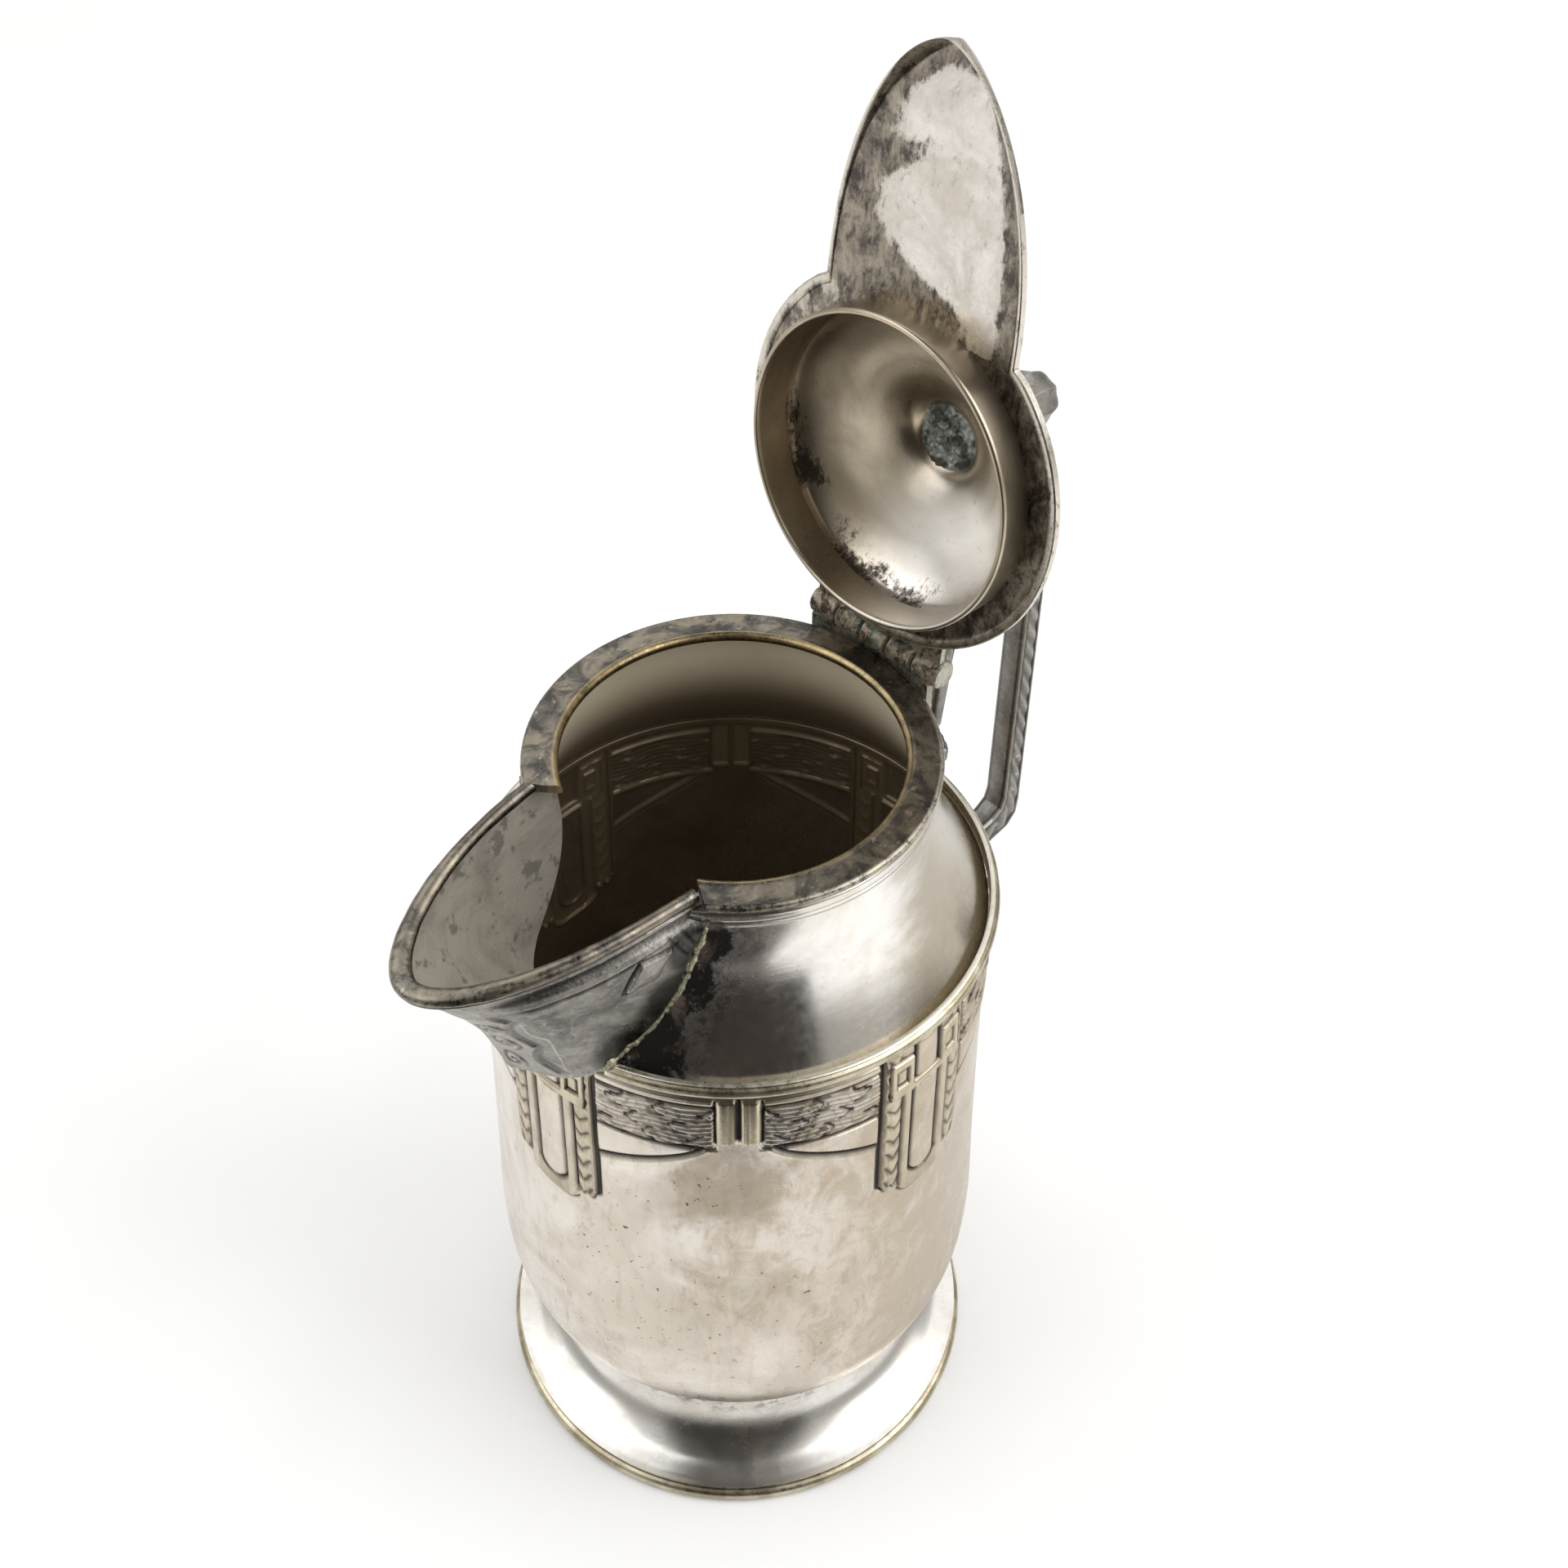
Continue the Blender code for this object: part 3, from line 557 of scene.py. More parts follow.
def root_line(turn):
    """Where the spout's outside meets the shoulder."""
    share = np.abs(turn) / (math.pi / 2)
    angle = np.sign(turn) * (ROOT_ANGLE * np.sin(share * math.pi / 2) ** 1.6 + ROOT_FLARE * share ** 8)
    z = ROOT_KEEL_Z + (ROOT_START_Z - ROOT_KEEL_Z) * share ** 2.6
    z -= KEEL_DROP * np.maximum(0.0, 1.0 - share / 0.45) ** 0.8
    shoulder = shoulder_radius(z)
    radius = shoulder + np.maximum(34.5 - shoulder, 0.0) * (1 - ramp(z, 100.6, 104.0)) + 0.15
    radius = radius + (ROOT_KEEL_R - radius) * np.maximum(0.0, 1.0 - share / 0.55) ** 1.3
    return xyz(-radius * np.cos(angle), radius * np.sin(angle), z)


def spout_outside(turn, down):
    """The spout's outer skin over turn x down, down being 0 at the lip and 1 at the root."""
    lip, root = lip_line(turn), root_line(turn)
    outward = xyz(-np.cos(turn), np.sin(turn), -0.35)
    outward /= np.linalg.norm(outward, axis=-1, keepdims=True)
    swell = 1.6 * np.sin(math.pi * down) * np.maximum(np.cos(turn * 0.85), 0) ** 0.5
    swell *= 0.35 + 0.65 * np.abs(np.sin(turn))
    swell -= KEEL_HOLLOW * np.sin(math.pi * down ** 0.85) * np.cos(turn) ** 2
    wall = SPOUT_WALL * (0.3 + 0.7 * ramp(down, 0.0, 0.2))
    return lip + (root - lip) * down[..., None] + outward * (swell + wall)[..., None], outward


def spout_inside(turn, down):
    """From the lip's inner edge down to the edge that shows inside the mouth."""
    share = np.abs(turn) / (math.pi / 2)
    knots = np.linspace(0, 1, len(CHEEK) * 12 - 11)
    cheek = spline(CHEEK)
    edge = np.stack([np.interp(share, knots, cheek[:, k]) for k in range(3)], axis=-1)
    edge[..., 1] *= np.sign(turn)
    lip = lip_line(turn)
    hollow = xyz(-np.cos(turn), np.sin(turn), -0.5)
    depth = 0.3 * np.sin(math.pi * down) * np.cos(turn) ** 2
    return lip + (edge - lip) * down[..., None] + hollow * depth[..., None]


def spout_relief(turn, down):
    """The second bead under the lip, framed panels with a lozenge, and a scroll on the keel."""
    # Grooves and the curls' hollows are darkened: dirt and painted shade.
    relief = Relief(turn.shape)
    side = np.abs(turn)
    flank = ramp(side, 0.45, 0.95)
    relief.lay(flank * between(down, 0.045, 0.085, 0.03), -0.25, 0.0, 1.0)
    relief.lay(flank * between(down, 0.085, 0.16, 0.04), 0.35, 0.0, 0.0)
    relief.lay(flank * between(down, 0.165, 0.195, 0.03), -0.18, 0.0, 0.9)
    a, d = (side - 1.26) / 0.16, (down - 0.37) / 0.17
    lozenge = np.abs(a) + np.abs(d + 0.35 * a)
    relief.lay(1 - ramp(lozenge, 1.0, 1.12), -0.2, 0.0, 0.9)
    relief.lay(1 - ramp(lozenge, 0.78, 0.9), 0.3 + 0.4 * (1.0 - lozenge), 0.25, 0.0)
    frame_line = between(side, 1.40, 1.415, 0.015) + between(side, 1.455, 1.47, 0.015)
    relief.lay(frame_line * between(down, 0.2, 0.8), -0.2, 0.0, 0.8)
    scallop = 0.56 - 0.10 * np.abs(np.sin(down * 10.0))
    keel = (1 - ramp(side, scallop - 0.03, scallop + 0.02)) * between(down, 0.22, 0.97, 0.1)
    relief.lay(keel, 0.22 + 0.12 * pillow(side, -scallop, scallop), 0.0, 0.0)
    groove = between(side, scallop + 0.01, scallop + 0.06, 0.05) * between(down, 0.2, 0.95, 0.1)
    relief.lay(groove, -0.15, 0.0, 0.7)
    for curl_side, curl_down, size in KEEL_CURLS:
        x, y = (side - curl_side) * CURL_WIDTH, (down - curl_down) * CURL_FALL
        reach = np.hypot(x, y)
        spiral = 0.5 + 0.5 * np.cos(2 * math.pi * reach / CURL_PITCH - np.arctan2(y, x))
        dirt = np.clip(0.8 - 1.6 * spiral, 0, 1)
        relief.lay(1 - ramp(reach, size - 0.3, size), 0.12 + 0.38 * spiral, 0.0, dirt)
    return relief


def spout_solid():
    turns = np.linspace(-math.pi / 2, math.pi / 2, 621)
    turn, down = np.meshgrid(turns, np.linspace(0, 1, 201), indexing="ij")
    outer, outward = spout_outside(turn, down)
    relief = spout_relief(turn, down)
    fade = ramp(math.pi / 2 - np.abs(turn), 0.0, 0.05) * ramp(down, 0.0, 0.03)
    height = relief.height * fade + 0.10 * lumps(outer, 7.0, 5) * ramp(down, 0.15, 0.35)
    outer = outer + outward * height[..., None]
    inner = spout_inside(turn, down)
    inner[..., 2] += 0.06 * lumps(inner, 6.0, 8) * ramp(down, 0.0, 0.2)
    return Solid().slab(outer, inner, False, {"dirt": relief.dirt, "relief": height}, {"within": 1.0})


def round_wire(path, radius, sides=14):
    """Sections of a wire of varying radius along a path."""
    ahead = np.gradient(path, axis=0)
    ahead /= np.linalg.norm(ahead, axis=1)[:, None]
    side = np.cross(ahead, (0, 0, 1))
    side /= np.linalg.norm(side, axis=1)[:, None]
    up = np.cross(side, ahead)
    turns = full_turn(sides)
    out = np.cos(turns)[:, None] * side[:, None] + np.sin(turns)[:, None] * up[:, None]
    return path[:, None] + radius[:, None, None] * out


def lip_wire_solid():
    turn = np.linspace(-math.pi / 2, math.pi / 2, 321) * 0.99
    path = lip_line(turn) + np.array([0, 0, LIP_WIRE_R + 0.25])
    sections = round_wire(path, LIP_WIRE_R * (1 + 0.05 * lumps(path, 5.0, 2)))
    flat = 1 + LIP_SPREAD * np.cos(turn) ** 2
    middle = path[:, None]
    spread = (sections - middle) * xyz(flat, flat, 1.0)[:, None]
    inward = xyz(np.cos(turn), -np.sin(turn), 0.0) * (LIP_WIRE_R * (flat - 1))[:, None]
    return Solid().tube(middle + spread + inward[:, None])


def solder_solid():
    """Two rough beads of solder along the spout's root."""
    solid = Solid()
    for seed, (offset, thick) in enumerate([(0.3, 0.6), (1.2, 0.4)]):
        for side in (-1, 1):
            turn = np.linspace(0.33, 1.52, 260) * side
            root = root_line(turn)
            out = root * np.array([1, 1, 0])
            out /= np.linalg.norm(out, axis=1)[:, None]
            around = xyz(-out[:, 1], out[:, 0], 0.0) * -side
            path = root + around * offset - out * 0.1 * offset
            path = path + 0.16 * np.stack([lumps(path, 2.2, seed + k) for k in (1, 2, 3)], axis=1)
            solid.tube(round_wire(path, thick * (1 + 0.35 * lumps(path, 1.1, seed + 7)), 10))
    return solid


# --- the handle -----------------------------------------------------------------------------
def handle_relief(along, length, across):
    """A twisted rope between two fillets, ending in plain rounds; across runs from -1 to 1."""
    rope = np.sqrt(np.maximum(1 - (across / ROPE_SHARE) ** 2, 0))
    twist = 0.5 + 0.5 * np.cos(2 * math.pi * (along / ROPE_PITCH + 0.5 * across / ROPE_SHARE))
    fillets = between(np.abs(across), 0.72, 0.94, 0.12)
    grip = between(along, 12.0, length - 12.0, 3.0)
    height = (0.48 * rope * (0.25 + 0.75 * twist) + 0.25 * fillets) * grip
    return height + 0.28 * (1 - grip) * (1 - np.abs(across) ** 3)


def handle_solid():
    """A bar whose side faces carry the relief and whose narrow sides are rounded."""
    outer, inner = np.array(HANDLE_OUTER), np.array(HANDLE_INNER)
    run = run_length((outer + inner) / 2)
    along = np.linspace(0, run[-1], int(run[-1] / 0.22))
    first, last = (np.stack([np.interp(along, run, column) for column in line.T], axis=1)
                   for line in (outer, inner))
    across = np.linspace(-1, 1, 25)
    height = handle_relief(along[:, None], run[-1], across)
    reach = HANDLE_WIDTH / 2 - 0.3 + height - 0.28 * ramp(np.abs(across), 0.85, 1.0)
    flat = first[:, None] + (last - first)[:, None] * ((across + 1) / 2)[:, None]
    turn = np.linspace(-1, 1, 9)[1:-1]
    bulge = 0.108 * np.cos(math.pi / 2 * turn)[:, None]
    outward = (last - first) / np.linalg.norm(last - first, axis=1)[:, None]
    under = last[:, None] + outward[:, None] * bulge
    over = first[:, None] - outward[:, None] * bulge
    loop = np.concatenate([
        xyz(flat[..., 0], -reach, flat[..., 1]),
        xyz(under[..., 0], reach[:, -1:] * turn, under[..., 1]),
        xyz(flat[..., 0], reach, flat[..., 1])[:, ::-1],
        xyz(over[..., 0], reach[:, :1] * -turn, over[..., 1]),
    ], axis=1)
    plain = np.full((len(along), len(turn)), 0.25)
    level = np.concatenate([height, plain, height[:, ::-1], plain], axis=1)
    # Darker where the rope and fillets are low: dirt and painted shade.
    return Solid().tube(loop, relief=level, dirt=np.clip(1 - level / 0.22, 0, 1))


def bud_solid():
    """A leaf bud: a drop with three overlapping leaves, pointed below."""
    rise = np.linspace(0.03, math.pi - 0.03, 90)[:, None]
    around = full_turn(160)
    narrow = np.sin(rise) * np.where(rise < math.pi / 2, 1.0, np.sin(rise) ** 0.45)
    leaf = np.abs(np.cos(1.5 * around + 0.4))
    height = (0.16 * leaf ** 0.6 + 0.10 * ramp(np.cos(rise), 0.55, 0.75)
              - 0.12 * between(np.cos(rise), 0.4, 0.55, 0.1))
    grow = narrow * (0.9 + height)
    points = xyz(36.75 + 1.6 * grow * np.cos(around), 4.5 * grow * np.sin(around), 100.9 + 3.2 * np.cos(rise))
    # Darker between the bud's leaves: dirt and painted shade.
    return Solid().tube(points, relief=height, dirt=np.clip(1 - leaf * 2.2, 0, 1))


def lower_leaf_solid():
    """A pointed, veined leaf lying on the cup under the handle's lower end."""
    share = np.linspace(0, 1, 120)[:, None]
    across = np.linspace(-1, 1, 61)
    z = 62.5 + 14.5 * share
    half = 5.2 * np.sin(math.pi * (0.02 + 0.94 * share)) ** 0.8
    angle = half * across / 34.4
    vein = np.exp(-(across * half / 0.35) ** 2)
    ribs = 0.5 + 0.5 * np.cos(2 * math.pi * (z / 2.4 + np.abs(across) * half / 3.0))
    height = (0.55 + 0.3 * vein + 0.18 * ribs * (1 - vein)) * np.sqrt(np.maximum(1 - across ** 2, 0)) + 0.12
    # Darker between the ribs and beside the vein: dirt and painted shade.
    return Solid().slab(polar(34.2 + height, angle, z), polar(34.2, angle, z), False,
                        {"relief": height, "dirt": np.clip(1.1 - ribs - vein, 0, 1)})


# --- the hinge ------------------------------------------------------------------------------
def hinge_bar(y, radius, sides):
    """A round bar on the hinge axis, and its outward directions."""
    turns = full_turn(sides)
    out = xyz(np.cos(turns), 0.0, np.sin(turns))
    return np.array([HINGE_X, 0.0, HINGE_Z]) + xyz(0.0, y, 0.0)[:, None] + out * radius[:, None, None], out


def add_knuckles(solid, indices):
    """Barrels with softened, slightly worn ends."""
    for index in indices:
        low = (index - KNUCKLES / 2) * KNUCKLE_PITCH + KNUCKLE_GAP / 2
        high = low + KNUCKLE_PITCH - KNUCKLE_GAP
        y = np.linspace(low, high, 40)
        end = np.minimum(y - low, high - y)
        bar, out = hinge_bar(y, KNUCKLE_R * (1 - 0.10 * (1 - ramp(end, 0.0, 0.35)) ** 2), 56)
        crust = 0.045 * lumps(bar, 1.3, 20 + index) + 0.03 * lumps(bar, 0.6, 21 + index)
        solid.tube(bar + out * crust[..., None])
    return solid


def body_leaf_solid():
    """The curved apron under the knuckles, with lobed lower corners."""
    angles = np.radians(np.linspace(-22.5, 22.5, 160))[:, None]
    high, low = 125.6, 118.6 + 1.6 * np.abs(np.sin(angles * 8.0)) ** 0.8
    z = high + (low - high) * np.linspace(0, 1, 50)
    outer = polar(26.95 + 0.06 * lumps(xyz(angles * 26, z, 0.0), 2.0, 4), angles, z)
    return add_knuckles(Solid().slab(outer, polar(26.15, angles, z)), range(0, KNUCKLES, 2))


def lid_leaf_solid():
    """The flat leaf on the lid plate, crusted on top."""
    y = np.linspace(-10.4, 10.4, 160)[:, None]
    x = np.linspace(21.9, 25.0, 30)
    crust = 0.05 * lumps(xyz(x, y, 0.0), 1.6, 9)
    return add_knuckles(Solid().slab(xyz(x, y, 126.55 + crust), xyz(x, y, 125.75)), range(1, KNUCKLES, 2))


def pin_solid():
    y = np.linspace(-PIN_HALF, PIN_HALF, 60)
    radius = PIN_R * np.sqrt(np.clip((PIN_HALF - np.abs(y)) / 0.35, 0.15, 1))
    return Solid().tube(hinge_bar(y, radius, 32)[0])


# --- the lid, drawn closed ------------------------------------------------------------------
def flap_share(x):
    return np.clip((x - FLAP_START_X) / (FLAP_TIP_X - FLAP_START_X), 0.0, 1.0)


def flap_half_width(x):
    return FLAP_HALF * (1.0 - flap_share(x) ** 2.2) ** 0.6


def plate_edge():
    """The plate's outline from above: a disc with a pointed-arch flap over the spout."""
    join = math.acos(FLAP_START_X / PLATE_R) - 0.02
    arc = [(PLATE_R * math.cos(a), PLATE_R * math.sin(a)) for a in np.linspace(0, join, 160)]
    share = np.sin(np.linspace(0, math.pi / 2, 120)[1:])
    x = FLAP_START_X + (FLAP_TIP_X - FLAP_START_X) * share
    half = even(np.vstack([arc, np.stack([x, flap_half_width(x)], axis=1)]), 0.35)
    return np.vstack([half, half[-2:0:-1] * (1, -1)])


def plate_droop(x, y):
    inset_share = np.clip((flap_half_width(x) - np.abs(y)) / FLAP_EDGE_BAND, 0.0, 1.0)
    drop = FLAP_EDGE_DROP + (FLAP_TIP_DROP - FLAP_EDGE_DROP) * flap_share(x) ** 1.5
    return np.where(x < FLAP_START_X, drop * (1.0 - inset_share) ** 1.5, 0.0)


def flap_shine(x, y):
    """How far the flap's underside is rubbed bright: a broad patch crossed by a dull band."""
    across = y / np.maximum(flap_half_width(x), 1.0)
    limit = np.interp(x, [-50, -44, -29, -25, -21], [0.1, 0.6, 0.55, 0.25, -0.5])
    patch = ramp(limit - across, -0.35, 0.35) * ramp(across, -0.95, -0.55) * ramp(x, -51, -45)
    dull = between(x - 4.5 * across, -40.5, -36.5, 3.0) * ramp(across, -0.4, 0.4)
    return np.where(x < FLAP_START_X, patch - 0.6 * dull, 0.32)


def plate_solid():
    """The lid plate with a thin raised line round its edge, a little dented."""
    edge = plate_edge()[:, None]
    hole = edge / np.linalg.norm(edge, axis=2, keepdims=True) * PLATE_HOLE_R
    share = np.r_[0, 0.004, 0.012, np.linspace(0.02, 1, 90)][:, None]
    x, y = np.moveaxis(edge + (hole - edge) * share, 2, 0)
    distance = np.hypot(x - edge[..., 0], y - edge[..., 1])
    dent = 0.13 * lumps(xyz(x, y, 0.0), 19.0, 12) * ramp(distance, 0.5, 4.0) * ramp(-x, 16.0, 24.0)
    z = PLATE_Z - plate_droop(x, y)
    rolled = 0.22 * pillow(distance, -0.1, 1.3)
    nick = 0.05 * (1 - ramp(distance, 0.0, 0.25))
    # A band along the outline that the material lightens: painted highlight.
    rim = 1 - ramp(distance, 0.5, 1.2)
    return Solid().slab(xyz(x, y, z + PLATE_THICK + dent - nick), xyz(x, y, z + dent - rolled + nick), True,
                        {"edge": rim, "shine": 0.6}, {"edge": rim, "shine": flap_shine(x, y)})


def bezel_section():
    """Straight walls with a rolled lower edge."""
    low = [(19.85, 120.8), (19.85, 120.45), (19.65, 120.22), (19.35, BEZEL_LOW), (19.15, 120.4)]
    return [(BEZEL_OUT, BEZEL_HIGH), (BEZEL_OUT, 121.4), *low, (BEZEL_IN, 120.9), (BEZEL_IN, BEZEL_HIGH)]


def dome_stain(points):
    """How wet the dome's inside stayed: runs and specks along its lowest side when it stands open."""
    x, y, _ = np.moveaxis(points, 2, 0)
    radius, angle = np.hypot(x, y), np.arctan2(y, x)
    runs = lumps(xyz(angle * 5.0, radius, 0.0), 3.0, 41)
    side = ramp(radius, 14.5, 18.0) * between(np.degrees(angle), -35, 112, 30)
    return side * np.clip(0.6 + 0.35 * runs, 0, 1)


def dome_solid():
    outer, inner = (turn_outline(evenly(spline(outline), 110), full_turn(TURNS // 2))
                    for outline in (DOME_OUTLINE, DOME_INSIDE))
    outer[..., 2] += 0.04 * lumps(outer, 12.0, 14)
    inner[..., 2] += 0.05 * lumps(inner, 11.0, 15) * ramp(np.hypot(inner[..., 0], inner[..., 1]), 1.0, 5.0)
    return Solid().slab(outer, inner, True, {"outside": 1.0}, {"stain": dome_stain(inner)})


def rivet_solid():
    """A rivet head under a rough puddle of solder, inside the dome's dimple."""
    r = np.linspace(0.02, 4.4, 50)
    angles = full_turn(120)[:, None]
    edge = 1 + 0.06 * np.sin(3 * angles + 0.7) + 0.04 * np.sin(7 * angles)
    flat = polar(r * edge, angles, 0.0)
    belly = 0.5 * np.sqrt(np.maximum(1 - (r / r[-1]) ** 2, 0))
    z = 134.0 - belly * (0.85 + 0.5 * lumps(flat, 2.4, 31)) - 0.16 * lumps(flat, 1.1, 32)
    return Solid().slab(polar(r * edge, angles, np.minimum(z, 134.5)), polar(r * edge, angles, 134.7), True)


def knob_solid():
    """A faceted baluster; its facets are slightly hollow with crisp edges."""
    outline = np.vstack([even(spline(KNOB_OUTLINE[:-2], 10), 0.18), even(KNOB_OUTLINE[-2:], 0.4)[1:]])
    angles = full_turn(KNOB_FACETS * 24)[:, None]
    step = 2 * math.pi / KNOB_FACETS
    local = (angles % step) - step / 2
    shape = math.cos(step / 2) / np.cos(local) * (1 - 0.025 * np.cos(local / step * math.pi) ** 2)
    return Solid().skin(polar(outline[:, 0] * shape, angles, outline[:, 1]), wrap_rows=True)


# --- materials ------------------------------------------------------------------------------
class Surface:
    """A metal's node tree, written with short calls that return sockets."""

    def __init__(self, name):
        self.material = bpy.data.materials.new(name)
        self.material.use_nodes = True
        self.tree = self.material.node_tree
        self.shader = self.tree.nodes["Principled BSDF"]
        self.where = self.node("ShaderNodeTexCoord").outputs["Object"]

    def node(self, kind, inputs=None, **settings):
        made = self.tree.nodes.new(kind)
        for key, value in settings.items():
            setattr(made, key, value)
        for key, value in (inputs or {}).items():
            self.feed(made.inputs[key], value)
        return made

    def feed(self, socket, value):
        if isinstance(value, bpy.types.NodeSocket):
            self.tree.links.new(value, socket)
        elif socket.type == "RGBA" and len(value) == 3:
            socket.default_value = (*value, 1.0)
        else:
            socket.default_value = value

    def noise(self, size, detail=5.0, rough=0.6, stretch=(1, 1, 1), warp=0.0, seed=0.0):
        """Noise with features of this size in millimetres, stretched along the axes."""
        scale = [1 / (size * MM * s) for s in stretch]
        spot = self.node("ShaderNodeMapping", {"Vector": self.where, "Scale": scale,
                                                "Location": (seed, seed * 0.7, seed * 1.3)})
        return self.node("ShaderNodeTexNoise", {
            "Vector": spot.outputs[0], "Scale": 1.0, "Detail": detail, "Roughness": rough, "Distortion": warp,
        }).outputs["Fac"]

    def attribute(self, name):
        return self.node("ShaderNodeAttribute", attribute_name=name).outputs["Fac"]

    def math(self, operation, *values):
        """One operation over the values, from left to right."""
        total = values[0]
        for value in values[1:]:
            total = self.node("ShaderNodeMath", {0: total, 1: value}, operation=operation).outputs[0]
        return total

    def add(self, *terms):
        return self.math("ADD", *terms)

    def product(self, *factors):
        return self.math("MULTIPLY", *factors)

    def vector(self, operation, a, b=(0.0, 0.0, 0.0)):
        """The outputs, Vector and Value, of an operation on vectors."""
        return self.node("ShaderNodeVectorMath", {0: a, 1: b}, operation=operation).outputs

    def band(self, value, low, high, to_low=0.0, to_high=1.0):
        return self.node("ShaderNodeMapRange", {
            "Value": value, "From Min": low, "From Max": high, "To Min": to_low, "To Max": to_high,
        }, interpolation_type="SMOOTHSTEP").outputs["Result"]

    def mix(self, share, a, b):
        made = self.node("ShaderNodeMix", data_type="RGBA")
        self.feed(made.inputs[0], share)
        self.feed(made.inputs[6], a)
        self.feed(made.inputs[7], b)
        return made.outputs[2]

    def blend(self, value, low, high, a, b):
        """Colour a where the value is low, b where it is high."""
        return self.mix(self.band(value, low, high), a, b)

    def stain(self, tone, value, low, high, share, colour):
        """The tone with a share of another colour where the value passes from low to high."""
        return self.mix(self.product(self.band(value, low, high), share), tone, colour)

    def near(self, x, y, z, radius, soft, lid=False):
        """1 round a point given in millimetres, fading out over soft millimetres."""
        spot = place(np.array([[x, y, z]], float), lid)[0]
        gap = self.vector("DISTANCE", self.where, tuple(spot))["Value"]
        return self.band(gap, radius * MM, (radius + soft) * MM, 1.0, 0.0)

    def near_any(self, spots):
        return self.math("MAXIMUM", *(self.near(*spot) for spot in spots))

    def from_axis(self):
        """The horizontal vector from the jug's axis."""
        offset = self.vector("ADD", self.where, (-AXIS_X, 0, 0))["Vector"]
        return self.vector("MULTIPLY", offset, (1, 1, 0))["Vector"]

    def radius(self):
        """The distance from the jug's axis, in millimetres."""
        return self.product(self.vector("LENGTH", self.from_axis())["Value"], 1 / MM)

    def height(self):
        """The height above the floor, in millimetres."""
        return self.product(self.node("ShaderNodeSeparateXYZ", {0: self.where}).outputs["Z"], 1 / MM)

    def rightward(self, low, high):
        """0 to 1 towards the camera's right; low and high are millimetres from the jug's axis."""
        right, _, _ = view_axes()
        along = self.vector("DOT_PRODUCT", self.from_axis(), tuple(right))["Value"]
        return self.band(along, low * MM, high * MM)

    def inward(self):
        """1 where the surface faces the jug's axis."""
        normal = self.node("ShaderNodeNewGeometry").outputs["Normal"]
        facing = self.vector("DOT_PRODUCT", normal, self.from_axis())["Value"]
        return self.band(facing, MM, -MM)

    def pointiness(self):
        return self.node("ShaderNodeNewGeometry").outputs["Pointiness"]

    def finish(self, colour, roughness, bump, depth, metallic=1.0):
        """The material; bump is a height and depth its size in millimetres."""
        normal = self.node("ShaderNodeBump", {"Height": bump, "Strength": 1.0, "Distance": depth * MM})
        for key, value in (("Base Color", colour), ("Roughness", roughness), ("Metallic", metallic),
                           ("Normal", normal.outputs[0])):
            self.feed(self.shader.inputs[key], value)
        return self.material


def cup_outside(s, cloud, fine, pits):
    """Satin silver with warm stains and drips, painted shade towards the camera's right and down the middle
    of the view, under a worn brass frieze whose hollows are dark with dirt and painted shade.
    """
    streak = s.noise(5, 7, 0.72, (1, 1, 7), seed=3)
    slant = s.noise(3.2, 7, 0.75, (1.6, 1, 2.4), warp=0.5, seed=13)
    tone = s.blend(cloud, 0.36, 0.62, (0.83, 0.775, 0.705), (0.67, 0.605, 0.52))
    # A streak down the middle of the view, darkened along with the drips: painted shade.
    middle = s.product(s.rightward(-9, -3), s.rightward(22, 8), s.band(s.height(), 40, 66))
    drip_and_shade = s.add(s.product(middle, 0.3), s.product(s.add(slant, cloud), 0.9))
    tone = s.stain(tone, drip_and_shade, 1.03, 1.28, 0.55, (0.50, 0.41, 0.29))
    # Darker towards the camera's right: painted shade.
    tone = s.mix(s.product(s.rightward(-8, 32), 0.7), tone, (0.50, 0.43, 0.34))
    # Brown stains made stronger towards the camera's right: stains and painted shade.
    brown = s.add(slant, s.product(s.rightward(4, 26), 0.22))
    tone = s.stain(tone, brown, 0.52, 0.74, 0.7, (0.44, 0.36, 0.26))
    tone = s.stain(tone, streak, 0.52, 0.72, 0.5, (0.56, 0.45, 0.33))
    tone = s.stain(tone, fine, 0.55, 0.75, 0.35, (0.42, 0.38, 0.33))
    tone = s.stain(tone, pits, 0.66, 0.72, s.band(cloud, 0.45, 0.6), (0.16, 0.14, 0.12))
    brass = s.blend(fine, 0.35, 0.7, (0.68, 0.60, 0.44), (0.48, 0.41, 0.285))
    tone = s.mix(s.attribute("brass"), tone, brass)
    # Grooves and hollows of the frieze go near black: dirt and painted shade.
    dirt = s.product(s.attribute("dirt"), s.band(fine, 0.15, 0.5, 0.85, 1.0))
    return s.mix(dirt, tone, (0.035, 0.03, 0.03))


def cup_silver():
    """The cup: plated outside, brown and dull inside, with painted gold highlights behind the frieze."""
    s = Surface("cup_silver")
    cloud = s.noise(20, 7, 0.62, warp=0.6)
    fine = s.noise(1.6, 6, 0.7, (1, 1, 3), seed=5)
    pits = s.noise(0.9, 3, 0.5, seed=9)
    brown = s.blend(cloud, 0.35, 0.7, (0.34, 0.27, 0.185), (0.22, 0.165, 0.11))
    # Gold where the frieze stands out, on the inside: painted highlight.
    brown = s.mix(s.product(s.attribute("brass"), 0.7), brown, (0.50, 0.40, 0.24))
    within = s.attribute("within")
    tone = s.mix(within, cup_outside(s, cloud, fine, pits), brown)
    rough = s.band(s.add(cloud, s.product(fine, 0.6)), 0.6, 1.1, 0.24, 0.42)
    rough = s.add(rough, s.product(s.attribute("dirt"), 0.25))
    bump = s.product(s.add(fine, pits), s.band(within, 0, 1, 0.5, 0.0))
    return s.finish(tone, rough, bump, 0.03, s.band(within, 0, 1, 1.0, 0.55))


